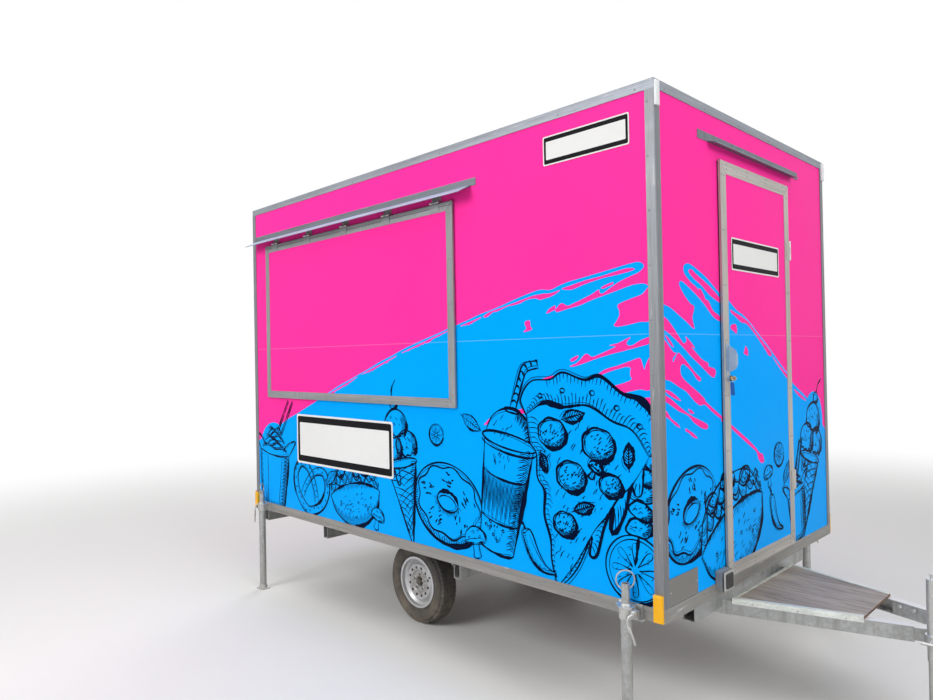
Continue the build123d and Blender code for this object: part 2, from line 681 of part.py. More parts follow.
def axle_arm():
    """Trailing arm from the beam to the stub axle, with the brake's backplate."""
    x = AXLE_X + BEAM_AHEAD
    z = TYRE_R + BEAM_ABOVE
    y = (AXLE_BEAM_HALF, AXLE_BEAM_HALF + ARM_T)
    length = math.hypot(BEAM_AHEAD, BEAM_ABOVE)
    slope = math.degrees(math.atan2(BEAM_ABOVE, BEAM_AHEAD))
    arm = rod((x, y[0], z), (x, y[1], z), ARM_BOSS_R) + rod((AXLE_X, y[0], TYRE_R), (AXLE_X, y[1], TYRE_R), 30)
    arm += Pos(AXLE_X, 0, TYRE_R) * Rot(0, -slope, 0) * block((0, length), y, (-26, 26))
    plate_y = RIM_CENTRE_Y - BACKPLATE_OFFSET
    arm += rod((AXLE_X, y[1], TYRE_R), (AXLE_X, RIM_CENTRE_Y + DISC_OFFSET, TYRE_R), STUB_R)
    arm += rod((AXLE_X, y[1], TYRE_R), (AXLE_X, plate_y, TYRE_R), 34)
    return arm + rod((AXLE_X, plate_y, TYRE_R), (AXLE_X, plate_y + SHEET, TYRE_R), BACKPLATE_R)


# Wheels: drawn about the y axis with y outwards from the middle of the tyre
ON_LEFT_AXLE = Pos(AXLE_X, RIM_CENTRE_Y, TYRE_R)


def brake_drum():
    """Drum, hub and dust cap, running on the stub axle."""
    inner = -BACKPLATE_OFFSET + SHEET + 3
    face = DISC_OFFSET
    bore = STUB_R + STUB_CLEARANCE
    drum_face = face - 28
    outline = [
        (bore, inner + 10),
        (46, inner + 10),
        (46, drum_face - DRUM_WALL),
        (DRUM_R - DRUM_WALL, drum_face - DRUM_WALL),
        (DRUM_R - DRUM_WALL, inner),
        (DRUM_R, inner),
        (DRUM_R, drum_face),
        (HUB_R, drum_face),
        (HUB_R, face),
        (CAP_R, face),
        (CAP_R, face + DISC_T + 8),
        (CAP_R - 6, face + DISC_T + 16),
        (0, face + DISC_T + 18),
        (0, face + 1),
        (bore, face + 1),
    ]
    return turned(outline)


def rim():
    """Pressed steel rim with a dished disc, vent holes and a centre bore."""
    half = RIM_WIDTH / 2
    t = RIM_SHEET
    seat = half - 10
    well = 22
    face = DISC_OFFSET
    barrel = [
        (RIM_FLANGE_R, -half),
        (RIM_FLANGE_R, -half + t),
        (RIM_R, -half + t + 2),
        (RIM_R, -seat + 12),
        (RIM_WELL_R, -well),
        (RIM_WELL_R, well),
        (RIM_R, seat - 12),
        (RIM_R, half - t - 2),
        (RIM_FLANGE_R, half - t),
        (RIM_FLANGE_R, half),
        (RIM_R - t, half),
        (RIM_R - t, seat - 12),
        (RIM_WELL_R - t, well - 2),
        (RIM_WELL_R - t, -well + 2),
        (RIM_R - t, -seat + 12),
        (RIM_R - t, -half),
    ]
    disc = [
        (HUB_BORE_R, face),
        (HUB_R, face),
        (HUB_R + 8, face + 7),
        (VENT_CIRCLE + 18, face + 9),
        (RIM_WELL_R - t, face - 14),
        (RIM_WELL_R - t, face - 14 + DISC_T + 1),
        (VENT_CIRCLE + 20, face + 9 + DISC_T),
        (HUB_R + 6, face + 7 + DISC_T),
        (HUB_R - 2, face + DISC_T),
        (HUB_BORE_R, face + DISC_T),
    ]
    part = turned(barrel) + turned(disc)
    for i in range(VENT_COUNT):
        angle = math.radians(360 * (i + 0.5) / VENT_COUNT)
        x = VENT_CIRCLE * math.cos(angle)
        z = VENT_CIRCLE * math.sin(angle)
        part -= rod((x, face - 10, z), (x, face + 30, z), VENT_R)
    return part


def tyre():
    """Radial tyre: bead on the rim's seat, bulging sidewalls and a slightly crowned tread."""
    half = TYRE_WIDTH / 2
    bead = RIM_WIDTH / 2 - RIM_SHEET - 2.3
    tread = half - 14
    seat = RIM_R + 0.3
    mid = RIM_R + TYRE_WIDEST * (TYRE_R - RIM_R)
    path = [
        Line((seat, -bead), (seat, bead)),
        Line((seat, bead), (RIM_FLANGE_R + 1, bead)),
        ThreePointArc((RIM_FLANGE_R + 1, bead), (mid, half), (TYRE_R - 12, tread + 6)),
        ThreePointArc((TYRE_R - 12, tread + 6), (TYRE_R - 4.5, tread + 2), (TYRE_R - 2, tread - 6)),
        ThreePointArc((TYRE_R - 2, tread - 6), (TYRE_R, 0), (TYRE_R - 2, -tread + 6)),
        ThreePointArc((TYRE_R - 2, -tread + 6), (TYRE_R - 4.5, -tread - 2), (TYRE_R - 12, -tread - 6)),
        ThreePointArc((TYRE_R - 12, -tread - 6), (mid, -half), (RIM_FLANGE_R + 1, -bead)),
        Line((RIM_FLANGE_R + 1, -bead), (seat, -bead)),
    ]
    return revolve(make_face(Wire(path)), Axis.Y)


# Prop stands: drawn at the front left, about the leg's own axis, then mirrored to the other corners
PROP_Y = Y1 + PROP_STANDOFF
PROP_TOP_Z = Z0 + PROP_TOP


def prop_leg():
    """Tube with a pressed foot and a bail handle at its top."""
    foot = block((-FOOT_SIZE[0] / 2, FOOT_SIZE[0] / 2), (-FOOT_SIZE[1] / 2, FOOT_SIZE[1] / 2), (0, FOOT_SIZE[2]))
    foot = fillet(foot.edges().filter_by(Axis.Z), 16)
    cone_base = FOOT_SIZE[2]
    leg = foot + Pos(0, 0, cone_base + FOOT_CONE_H / 2) * Cone(PROP_R + 8, PROP_R, FOOT_CONE_H)
    neck_z = PROP_TOP_Z - PROP_NECK_LENGTH
    tube = [
        (PROP_R, cone_base),
        (PROP_R, neck_z - PROP_SWAGE),
        (PROP_NECK_R, neck_z),
        (PROP_NECK_R, PROP_TOP_Z),
        (PROP_NECK_R - PROP_SHEET, PROP_TOP_Z),
        (PROP_NECK_R - PROP_SHEET, neck_z),
        (PROP_R - PROP_SHEET, neck_z - PROP_SWAGE),
        (PROP_R - PROP_SHEET, cone_base + FOOT_CONE_H),
        (0, cone_base + FOOT_CONE_H),
        (0, cone_base),
    ]
    leg += revolve(make_face(Plane.XZ * Polyline(*tube, close=True)), Axis.Z)
    bail = Plane.XZ * Torus(BAIL_R, BAIL_BAR)
    bail = Pos(0, 0, PROP_TOP_Z + BAIL_LIFT) * Rot(0, 0, -BAIL_TURN_DEG) * bail
    return leg + (bail - rod((0, 0, neck_z), (0, 0, PROP_TOP_Z + 1), PROP_NECK_R - PROP_SHEET / 2))


def prop_clamp():
    """Bracket on the floor rail with a capped split ring round the leg, an ear with its bolt, and a curved lever."""
    width, plate, height = CLAMP_PLATE
    z = (Z0, Z0 + height)
    back = -PROP_STANDOFF
    ring_r = PROP_R + CLAMP_WALL
    body_z = (z[0] + CLAMP_TONGUE[1], z[1] - 6)
    part = block((-width / 2, width / 2), (back, back + plate), z)
    part += block((-ring_r, ring_r), (back, 0), body_z)
    part += rod((0, 0, body_z[0]), (0, 0, body_z[1]), ring_r)
    cap_z = (body_z[1] - CLAMP_CAP[1], body_z[1])
    part += block((-width / 2 + 8, ring_r), (back, 0), cap_z)
    part += rod((0, 0, cap_z[0]), (0, 0, cap_z[1]), PROP_R + CLAMP_CAP[0])
    ear_end = ring_r + CLAMP_EAR[0]
    half = CLAMP_EAR[1] / 2
    part += block((0, ear_end), (-half, half), (body_z[0] + 6, body_z[1] - 10))
    part += block((0, ear_end + CLAMP_TONGUE[0]), (back, -half), (z[0], body_z[0]))
    part -= block((0, ear_end + 1), (-CLAMP_SLIT / 2, CLAMP_SLIT / 2), (z[0] - 1, z[1] + 1))
    part -= rod((0, 0, z[0] - 1), (0, 0, z[1] + 1), PROP_R + PROP_CLEARANCE)
    bolt_x = ring_r + CLAMP_EAR[0] / 2
    bolt_z = Z0 + height / 2
    washer_r, washer_t = CLAMP_WASHER
    hex_r, hex_t = CLAMP_HEX
    stack = half + washer_t
    part += rod((bolt_x, -stack - hex_t - 3, bolt_z), (bolt_x, 0, bolt_z), CLAMP_BOLT_R)
    for side in (-1, 1):
        part += rod((bolt_x, side * (half - 1), bolt_z), (bolt_x, side * stack, bolt_z), washer_r)
    part += Pos(bolt_x, -stack, bolt_z) * extrude(Plane.XZ * RegularPolygon(hex_r, 6), hex_t)
    path = [(bolt_x + along, out, bolt_z - drop) for along, out, drop in CLAMP_LEVER_PATH]
    part += rod((bolt_x, half, bolt_z), (bolt_x, CLAMP_LEVER_PATH[0][1] + CLAMP_LEVER_R, bolt_z), washer_r - 2)
    bent = Spline(*path, tangents=((0, 1, 0), (0.3, -0.1, -1)))
    return part + sweep(Plane(bent @ 0, z_dir=bent % 0) * Circle(CLAMP_LEVER_R), path=bent)


# Jockey wheel: drawn about its own axis
JOCKEY_PLACE = Pos(JOCKEY_X, JOCKEY_Y, 0)
FORK_TOP = JOCKEY_WHEEL_R * 2 + FORK_GAP + 12


def jockey_clamp():
    """Bracket on the coupling's leg with a ring round the outer tube and a T lever."""
    ring_r = JOCKEY_OUTER_R + 7
    z = (BEAM_Z[0] + 12, BEAM_Z[1] - 8)
    part = rod((0, 0, z[0]), (0, 0, z[1]), ring_r)
    arm = block((-26, 26), (0, JOCKEY_ARM), z)
    leg_side = ALONG_BEAM * block((0, 2 * X1), (-Y1, -BEAM_SHEET), (0, Z0))
    leg_side = JOCKEY_PLACE.inverse() * leg_side.mirror(Plane.XZ)
    part += arm - leg_side
    part -= rod((0, 0, z[0] - 1), (0, 0, z[1] + 1), JOCKEY_OUTER_R)
    part += rod((0, -ring_r + 2, sum(z) / 2), (0, -ring_r - 34, sum(z) / 2), 7)
    return JOCKEY_PLACE * (part + rod((-34, -ring_r - 34, sum(z) / 2), (34, -ring_r - 34, sum(z) / 2), 6))


def jockey_outer():
    """Outer tube with its cap, spindle head and crank."""
    part = rod((0, 0, JOCKEY_SLEEVE_BOTTOM), (0, 0, JOCKEY_TOP), JOCKEY_OUTER_R)
    bore = JOCKEY_INNER_R + JOCKEY_TUBE_CLEARANCE
    part -= rod((0, 0, JOCKEY_SLEEVE_BOTTOM - 1), (0, 0, JOCKEY_TOP - 8), bore)
    part += rod((0, 0, JOCKEY_TOP), (0, 0, JOCKEY_TOP + 22), 9)
    part += block((-11, CRANK_REACH), (-8, 8), (JOCKEY_TOP + 12, JOCKEY_TOP + 20))
    grip = rod((CRANK_REACH - 12, 0, JOCKEY_TOP + 16), (CRANK_REACH - 12, 0, JOCKEY_TOP + 88), 11)
    return JOCKEY_PLACE * (part + grip)


def jockey_inner():
    """Inner tube with the kingpin's bore at its foot."""
    top = JOCKEY_TOP - 8 - JOCKEY_TRAVEL - 6
    part = rod((0, 0, FORK_TOP), (0, 0, top), JOCKEY_INNER_R)
    bore = JOCKEY_KINGPIN_R + JOCKEY_TUBE_CLEARANCE
    return JOCKEY_PLACE * (part - rod((0, 0, FORK_TOP - 1), (0, 0, FORK_TOP + 62), bore))


def jockey_fork():
    """Crown with the kingpin, two cranked cheeks and the wheel's axle."""
    crown_z = (FORK_TOP - 12.3, FORK_TOP - 0.3)
    half = JOCKEY_WHEEL_WIDTH / 2 + FORK_GAP
    part = block((-30, 30), (-half - FORK_SHEET, half + FORK_SHEET), crown_z)
    part += rod((0, 0, crown_z[0]), (0, 0, FORK_TOP + 56), JOCKEY_KINGPIN_R)
    outline = [
        (-30, crown_z[1]),
        (-JOCKEY_TRAIL - 16, JOCKEY_WHEEL_R - 10),
        (-JOCKEY_TRAIL, JOCKEY_WHEEL_R - 18),
        (-JOCKEY_TRAIL + 16, JOCKEY_WHEEL_R - 10),
        (30, crown_z[1]),
    ]
    cheek = make_face(Plane.XZ * Polyline(*outline, close=True))
    cheek = Pos(0, half + FORK_SHEET, 0) * extrude(cheek, FORK_SHEET)
    part += cheek + cheek.mirror(Plane.XZ)
    reach = half + FORK_SHEET + 4
    axle = rod((-JOCKEY_TRAIL, -reach, JOCKEY_WHEEL_R), (-JOCKEY_TRAIL, reach, JOCKEY_WHEEL_R), JOCKEY_AXLE_R)
    return JOCKEY_PLACE * (part + axle)


def jockey_wheel():
    """Solid rubber tyre on a dished hub, as one turned piece."""
    half = JOCKEY_WHEEL_WIDTH / 2
    r = JOCKEY_WHEEL_R
    bore = JOCKEY_AXLE_R + JOCKEY_TUBE_CLEARANCE
    outline = [
        (bore, -half),
        (22, -half),
        (26, -half + 14),
        (r - 38, -half + 14),
        (r - 34, -half + 2),
        (r - 12, -half),
        (r - 3, -half + 8),
        (r, -half + 18),
        (r, half - 18),
        (r - 3, half - 8),
        (r - 12, half),
        (r - 34, half - 2),
        (r - 38, half - 14),
        (26, half - 14),
        (22, half),
        (bore, half),
    ]
    return JOCKEY_PLACE * Pos(-JOCKEY_TRAIL, 0, JOCKEY_WHEEL_R) * turned(outline)


# Lamps and small fittings
def side_marker():
    """Amber lamp on the front left corner, over the floor rail and the post."""
    x = (X1 - SIDE_MARKER_INSET, X1 - SIDE_MARKER_INSET + SIDE_MARKER[0])
    z = (Z0 + LAMP_FOOT, Z0 + LAMP_FOOT + SIDE_MARKER[2])
    lamp = block(x, (Y1, Y1 + SIDE_MARKER[1]), z)
    return fillet(lamp.faces().sort_by(Axis.Y)[-1].edges(), 5)


def clearance_lamp():
    """White lamp at the top of the front left corner."""
    y = (Y1 - CLEARANCE_LAMP_INSET, Y1 - CLEARANCE_LAMP_INSET + CLEARANCE_LAMP[1])
    z = (Z1 - CLEARANCE_LAMP_DROP - CLEARANCE_LAMP[2], Z1 - CLEARANCE_LAMP_DROP)
    lamp = block((X1, X1 + CLEARANCE_LAMP[0]), y, z)
    return fillet(lamp.faces().sort_by(Axis.X)[-1].edges(), 6)


def rear_lamp():
    """Tail lamp at the foot of the rear wall."""
    x = (-X1 - REAR_LAMP[0], -X1)
    z = (Z0 + LAMP_FOOT, Z0 + LAMP_FOOT + REAR_LAMP[2])
    lamp = block(x, (Y1 - REAR_LAMP_INSET - REAR_LAMP[1], Y1 - REAR_LAMP_INSET), z)
    return fillet(lamp.faces().sort_by(Axis.X)[0].edges(), 8)


def inlet_box():
    """Supply inlet: a flanged box with a lipped lid."""
    y = (INLET_Y, INLET_Y + INLET[1])
    z = (Z0 + INLET_Z, Z0 + INLET_Z + INLET[2])
    box = block((X1, X1 + INLET[0] - 8), y, z)
    box = fillet(box.edges().filter_by(Axis.X), 8)
    lid = block((X1 + INLET[0] - 8, X1 + INLET[0]), (y[0] + 18, y[1] - 18), (z[0] + 12, z[1] - 16))
    return box + lid


def door_latch():
    """Pull folded from sheet (flange, standing leg, lip), its ends cut on a slope, and the lock cylinder below it."""
    face = X1 - PROFILE + LEAF_PROUD
    edge_y = DOOR_CENTRE_Y - DOOR_WIDTH / 2 + LATCH_EDGE
    low_z = Z0 + DOOR_SILL + LATCH_ABOVE_SILL
    t = LATCH_SHEET
    leg_y = edge_y + LATCH_FLANGE
    lip_y = leg_y + LATCH_LEG_RUN
    end_y = lip_y + LATCH_LIP
    crest = face + LATCH_STANDOUT
    folds = [
        (face, edge_y),
        (face, leg_y),
        (crest - t, lip_y),
        (crest - t, end_y),
        (crest, end_y),
        (crest, lip_y - t),
        (face + t, leg_y - t),
        (face + t, edge_y),
    ]
    sheet = extrude(Plane.XY.offset(low_z) * make_face(Polyline(*folds, close=True)), LATCH_HEIGHT)
    top_z = low_z + LATCH_HEIGHT
    outline = [(edge_y, low_z), (edge_y, top_z)]
    outline += [(y, top_z - drop) for y, drop in zip((leg_y, lip_y, end_y), LATCH_TOP_SLOPE)]
    outline += [(y, low_z + rise) for y, rise in zip((end_y, lip_y, leg_y), reversed(LATCH_FOOT_SLOPE))]
    cut = extrude(Plane.YZ.offset(face) * make_face(Polyline(*outline, close=True)), LATCH_STANDOUT)
    pull = sheet & cut
    lock_y = edge_y + LOCK_ACROSS
    lock_z = low_z - LOCK_DROP
    cylinder = rod((face, lock_y, lock_z), (face + LOCK_REACH, lock_y, lock_z), LOCK_R)
    return [pull, cylinder]


# Gas strut, drawn in the hatch's frame on its right hand end
def strut_frame():
    """Plane of the strut: origin at the pivot, z along the strut towards the eye."""
    (pivot_y, pivot_z), (eye_y, eye_z) = strut_points()
    x = HATCH_WIDTH / 2 - OPENING_INSET - STRUT_INSET
    along = Vector(0, eye_y - pivot_y, eye_z - pivot_z)
    return Plane(origin=(x, pivot_y, pivot_z), z_dir=along, x_dir=(1, 0, 0)), along.length


def strut_barrel():
    """Cylinder with its eye at the pivot and the rod's bore."""
    plane, _ = strut_frame()
    end = STRUT_EYE_R + STRUT_BARREL_LENGTH
    part = rod((0, 0, STRUT_EYE_R - 2), (0, 0, end), STRUT_BARREL_R)
    part -= rod((0, 0, STRUT_EYE_R + 8), (0, 0, end + 1), STRUT_ROD_R + STRUT_ROD_CLEARANCE)
    part += rod((-STRUT_EYE_T / 2, 0, 0), (STRUT_EYE_T / 2, 0, 0), STRUT_EYE_R)
    bore = STRUT_PIN_R + STRUT_ROD_CLEARANCE
    return plane * (part - rod((-STRUT_EYE_T, 0, 0), (STRUT_EYE_T, 0, 0), bore))


def strut_rod():
    """Piston rod that ends in the eye by the leaf's bracket."""
    plane, length = strut_frame()
    part = rod((0, 0, STRUT_EYE_R + 12), (0, 0, length - STRUT_EYE_R + 2), STRUT_ROD_R)
    part += rod((-STRUT_EYE_T / 2, 0, length), (STRUT_EYE_T / 2, 0, length), STRUT_EYE_R)
    bore = STRUT_PIN_R + STRUT_ROD_CLEARANCE
    return plane * (part - rod((-STRUT_EYE_T, 0, length), (STRUT_EYE_T, 0, length), bore))


def strut_jamb_bracket():
    """Plate on the jamb's flange with the pivot pin."""
    (pivot_y, pivot_z), _ = strut_points()
    jamb_x = HATCH_WIDTH / 2 - OPENING_INSET
    x = jamb_x - STRUT_INSET
    plate = block((jamb_x, jamb_x + SHEET * 2), (WALL, pivot_y + 14), (pivot_z - 22, pivot_z + 22))
    return plate + rod((x - STRUT_EYE_T / 2 - 2, pivot_y, pivot_z), (jamb_x, pivot_y, pivot_z), STRUT_PIN_R)


def strut_leaf_bracket():
    """Plate on the leaf's lip with a stud that ends beside the rod's eye."""
    _, (eye_y, eye_z) = strut_points()
    eye_x = HATCH_WIDTH / 2 - OPENING_INSET - STRUT_INSET
    face_x = eye_x - STRUT_EYE_T / 2 - STRUT_SIDE_GAP
    back = LEAF_BACK + SHEET
    plate = block((face_x - 12, face_x - 7), (back, eye_y + 9), (eye_z - 20, eye_z + 20))
    foot = block((face_x - 12, face_x + 15), (back, back + SHEET), (eye_z - 20, eye_z + 20))
    return plate + foot + rod((face_x - 8, eye_y, eye_z), (face_x, eye_y, eye_z), STRUT_PIN_R)


def build():
    """Makes every sub-part and writes it."""
    os.makedirs("parts", exist_ok=True)

    save("floor_panel", floor_panel())
    save("roof_panel", roof_panel())
    save("wall_left", side_wall())
    save("wall_right", side_wall().mirror(Plane.XZ) - ON_SIDE * wall_cut(HATCH_WIDTH, HATCH_HEIGHT))
    save("wall_front", end_wall() - ON_FRONT * wall_cut(DOOR_WIDTH, DOOR_HEIGHT))
    save("wall_rear", end_wall().mirror(Plane.YZ))

    save("floor_edge_rail", floor_edge_rail())
    save("roof_edge_rail", roof_edge_rail())
    fronts = both_sides(corner_post())
    save("corner_posts", *fronts, *[post.mirror(Plane.YZ) for post in fronts])

    hatch_jamb = jamb(HATCH_WIDTH, HATCH_HEIGHT)
    hatch_frame = leaf_frame(HATCH_WIDTH, HATCH_HEIGHT, HATCH_FACE)
    for bracket in mirrored_x(strut_jamb_bracket()):
        hatch_jamb += bracket
    for bracket in mirrored_x(strut_leaf_bracket()):
        hatch_frame += bracket
    for place in hatch_hinge_places():
        hatch_frame += place * hinge_leaf_half(HATCH_HINGE_LENGTH)
    save("hatch_jamb", ON_SIDE * hatch_jamb)
    save("hatch_frame", ON_SIDE * hatch_frame)
    save("hatch_panel", ON_SIDE * leaf_panel(HATCH_WIDTH, HATCH_HEIGHT))
    save("hatch_hinges", *[ON_SIDE * place * hinge_wall_half(HATCH_HINGE_LENGTH) for place in hatch_hinge_places()])

    door_frame = leaf_frame(DOOR_WIDTH, DOOR_HEIGHT, DOOR_FACE)
    for place in door_hinge_places():
        door_frame += place * hinge_leaf_half(DOOR_HINGE_LENGTH)
    save("door_jamb", ON_FRONT * jamb(DOOR_WIDTH, DOOR_HEIGHT))
    save("door_frame", ON_FRONT * door_frame)
    save("door_panel", ON_FRONT * leaf_panel(DOOR_WIDTH, DOOR_HEIGHT))
    save("door_hinges", *[ON_FRONT * place * hinge_wall_half(DOOR_HINGE_LENGTH) for place in door_hinge_places()])
    save("door_latch", *door_latch())

    for end, barrel, piston in zip(
        ("front", "rear"), mirrored_x(strut_barrel()), mirrored_x(strut_rod())
    ):
        save(f"strut_barrel_{end}", ON_SIDE * barrel)
        save(f"strut_rod_{end}", ON_SIDE * piston)

    hatch_half = HATCH_WIDTH / 2 + HATCH_GUTTER_OVERHANG
    door_half = DOOR_WIDTH / 2 + DOOR_GUTTER_OVERHANG
    hatch_gutter = gutter((-hatch_half, hatch_half), HATCH_LIP_INSETS, HATCH_GUTTER_REACH, HATCH_GUTTER_DROP)
    door_gutter = gutter((-door_half, door_half), DOOR_LIP_INSETS, DOOR_GUTTER_REACH, DOOR_GUTTER_DROP)
    above_hatch = ON_SIDE * Pos(0, 0, HATCH_HEIGHT + HATCH_GUTTER_RISE)
    above_door = ON_FRONT * Pos(0, 0, DOOR_HEIGHT + DOOR_GUTTER_RISE)
    save("rain_gutters", above_hatch * hatch_gutter, above_door * door_gutter)

    save("chassis_frame", chassis_frame())
    save("drawbar_beams", *both_sides(drawbar_beam()))
    save("step_deck", step_deck())
    save("deck_edge_angles", deck_edge_angles())
    save("overrun_coupling", overrun_coupling())
    save("coupling_gaiter", coupling_gaiter())
    save("coupling_head", coupling_head())
    save("handbrake_lever", handbrake_lever())

    save("axle_beam", axle_beam())
    save("axle_arms", *both_sides(axle_arm()))
    for node, shape in (("tyre", tyre()), ("rim", rim()), ("brake_drum", brake_drum())):
        left = ON_LEFT_AXLE * shape
        save(f"{node}_left", left)
        save(f"{node}_right", left.mirror(Plane.XZ))

    leg = Pos(PROP_X, PROP_Y, 0) * prop_leg()
    clamps = both_sides(Pos(PROP_X, PROP_Y, 0) * prop_clamp())
    for corner, shape in zip(("front_left", "front_right"), both_sides(leg)):
        save(f"prop_{corner}", shape)
        save(f"prop_{corner.replace('front', 'rear')}", shape.mirror(Plane.YZ))
    save("prop_clamps", *clamps, *[clamp.mirror(Plane.YZ) for clamp in clamps])

    save("jockey_clamp", jockey_clamp())
    save("jockey_outer", jockey_outer())
    save("jockey_inner", jockey_inner())
    save("jockey_fork", jockey_fork())
    save("jockey_wheel", jockey_wheel())

    markers = both_sides(side_marker())
    save("side_markers", *markers, *[marker.mirror(Plane.YZ) for marker in markers])
    save("clearance_lamps", *both_sides(clearance_lamp()))
    save("rear_lamps", *both_sides(rear_lamp()))
    save("inlet_box", inlet_box())


build()
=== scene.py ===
import math

import bpy
import numpy as np
from mathutils import Matrix
from mathutils.geometry import tessellate_polygon


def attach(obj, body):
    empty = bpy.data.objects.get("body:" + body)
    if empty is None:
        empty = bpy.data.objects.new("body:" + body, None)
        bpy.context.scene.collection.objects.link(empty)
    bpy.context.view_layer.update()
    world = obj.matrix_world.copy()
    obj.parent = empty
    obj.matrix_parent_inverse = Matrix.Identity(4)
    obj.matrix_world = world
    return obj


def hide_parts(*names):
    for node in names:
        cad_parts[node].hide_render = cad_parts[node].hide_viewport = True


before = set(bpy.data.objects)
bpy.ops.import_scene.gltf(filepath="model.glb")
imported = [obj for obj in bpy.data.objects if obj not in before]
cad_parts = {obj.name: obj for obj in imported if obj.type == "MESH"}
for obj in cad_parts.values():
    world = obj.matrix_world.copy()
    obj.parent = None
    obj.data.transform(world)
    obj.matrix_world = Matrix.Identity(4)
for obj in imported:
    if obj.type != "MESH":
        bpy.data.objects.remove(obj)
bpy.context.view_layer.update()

# Places on the trailer, in metres
SKIN_RIGHT = -0.996
SKIN_LEFT = 0.996
SKIN_FRONT = 1.1035
SKIN_REAR = -2.3885
HATCH_SKIN = -1.011
DOOR_SKIN = 1.1185
HATCH_FACE = -1.014
DOOR_FACE = 1.1215
RAIL_TOP = 0.64
ROOF_RAIL_LOW = 2.836
POST_FACE = 0.045
BODY_FRONT = 1.1075
BODY_REAR = -2.3925
BODY_SIDE = 1.0
JOINT_HEIGHT = 1.80
HATCH_LEAF = (-2.1725, -0.1225, 1.438, 2.570)
HATCH_SHOWN = (-2.1225, -0.1725, 1.488, 2.520)
HATCH_CUT = (-2.1595, -0.1355, 1.451, 2.557)
DOOR_LEAF = (-0.430, 0.400, 0.646, 2.635)
DOOR_SHOWN = (-0.370, 0.340, 0.706, 2.575)
DOOR_CUT = (-0.417, 0.387, 0.659, 2.622)
AXLE = (-0.8475, 0.261)
WHEEL_MIDDLE = 0.6425


class Wall:
    """A flat side of the trailer: how far along it, up it and off it a point is, as a place in space."""

    def __init__(self, along, outward, skin):
        self.along = np.array(along, float)
        self.outward = np.array(outward, float)
        self.skin = skin

    def place(self, flat):
        """Along times the first number, up times the second, outward times the skin's distance and the third."""
        up = np.array((0.0, 0.0, 1.0))
        return flat[..., :1] * self.along + flat[..., 1:2] * up + self.outward * (self.skin + flat[..., 2:])


RIGHT = Wall((1, 0, 0), (0, -1, 0), -SKIN_RIGHT)
ON_HATCH = Wall((1, 0, 0), (0, -1, 0), -HATCH_SKIN)
FRONT = Wall((0, 1, 0), (1, 0, 0), SKIN_FRONT)
ON_DOOR = Wall((0, 1, 0), (1, 0, 0), DOOR_SKIN)
LEFT = Wall((-1, 0, 0), (0, 1, 0), SKIN_LEFT)
REAR = Wall((0, -1, 0), (-1, 0, 0), -SKIN_REAR)
HATCH_FRAME = Wall((1, 0, 0), (0, -1, 0), -HATCH_FACE)
DOOR_FRAME = Wall((0, 1, 0), (1, 0, 0), DOOR_FACE)

# Colours, linear
PINK = (1.0, 0.036, 0.345, 1)
BLUE = (0.0, 0.375, 1.0, 1)
NAVY = (0.001, 0.005, 0.026, 1)
WHITE = (0.80, 0.80, 0.79, 1)
BLACK = (0.012, 0.012, 0.014, 1)
SOIL = (0.30, 0.25, 0.19, 1)


# Node helpers
def put(tree, kind, inputs=None, **settings):
    """Adds a node. A value in inputs is an output that feeds the socket or the socket's own value."""
    node = tree.nodes.new(kind)
    for name, value in settings.items():
        setattr(node, name, value)
    for key, value in (inputs or {}).items():
        if isinstance(value, bpy.types.NodeSocket):
            tree.links.new(value, node.inputs[key])
        else:
            node.inputs[key].default_value = value
    return node


def calc(tree, operation, *values):
    """Result of a Math node."""
    return put(tree, "ShaderNodeMath", dict(enumerate(values)), operation=operation).outputs[0]


def spread(tree, value, low, high, start=0.0, end=1.0):
    """Value eased from start to end while it goes from low to high."""
    inputs = {"Value": value, "From Min": low, "From Max": high, "To Min": start, "To Max": end}
    return put(tree, "ShaderNodeMapRange", inputs, interpolation_type="SMOOTHSTEP").outputs["Result"]


def mixed(tree, share, first, second):
    """Colour between two others."""
    return put(tree, "ShaderNodeMix", {0: share, 6: first, 7: second}, data_type="RGBA").outputs[2]


def noise(tree, where, scale, detail=4.0, rough=0.5):
    """Noise value about one half."""
    inputs = {"Vector": where, "Scale": scale, "Detail": detail, "Roughness": rough}
    return put(tree, "ShaderNodeTexNoise", inputs).outputs[0]


def far_from(tree, value, middle):
    """How far a value stands from a middle one, either way."""
    return calc(tree, "ABSOLUTE", calc(tree, "SUBTRACT", value, middle))


def background_rays(tree):
    """One for the rays that show the white background: straight from the camera, off gloss and through glass."""
    rays = put(tree, "ShaderNodeLightPath").outputs
    bent = calc(tree, "MAXIMUM", rays["Is Glossy Ray"], rays["Is Transmission Ray"])
    return calc(tree, "MAXIMUM", rays["Is Camera Ray"], bent)


def shaded(tree, colour, gain):
    """Colour times a number."""
    return put(tree, "ShaderNodeVectorMath", {0: colour, 3: gain}, operation="SCALE").outputs[0]


def stretched(tree, where, factors):
    """Coordinates times three factors."""
    return put(tree, "ShaderNodeVectorMath", {0: where, 1: factors}, operation="MULTIPLY").outputs[0]


def apart(tree, where):
    """The x, y and z of a vector."""
    return put(tree, "ShaderNodeSeparateXYZ", {0: where}).outputs


def effect(name, inputs, outputs):
    """Empty node group with its sockets, as (group, what comes in, where results go)."""
    tree = bpy.data.node_groups.new(name, "ShaderNodeTree")
    for label, kind, value in inputs:
        socket = tree.interface.new_socket(label, in_out="INPUT", socket_type=kind)
        socket.default_value = value
    for label, kind in outputs:
        tree.interface.new_socket(label, in_out="OUTPUT", socket_type=kind)
    start = tree.nodes.new("NodeGroupInput")
    end = tree.nodes.new("NodeGroupOutput")
    return tree, start.outputs, end.inputs


VECTOR = "NodeSocketVector"
FLOAT = "NodeSocketFloat"
COLOUR = "NodeSocketColor"


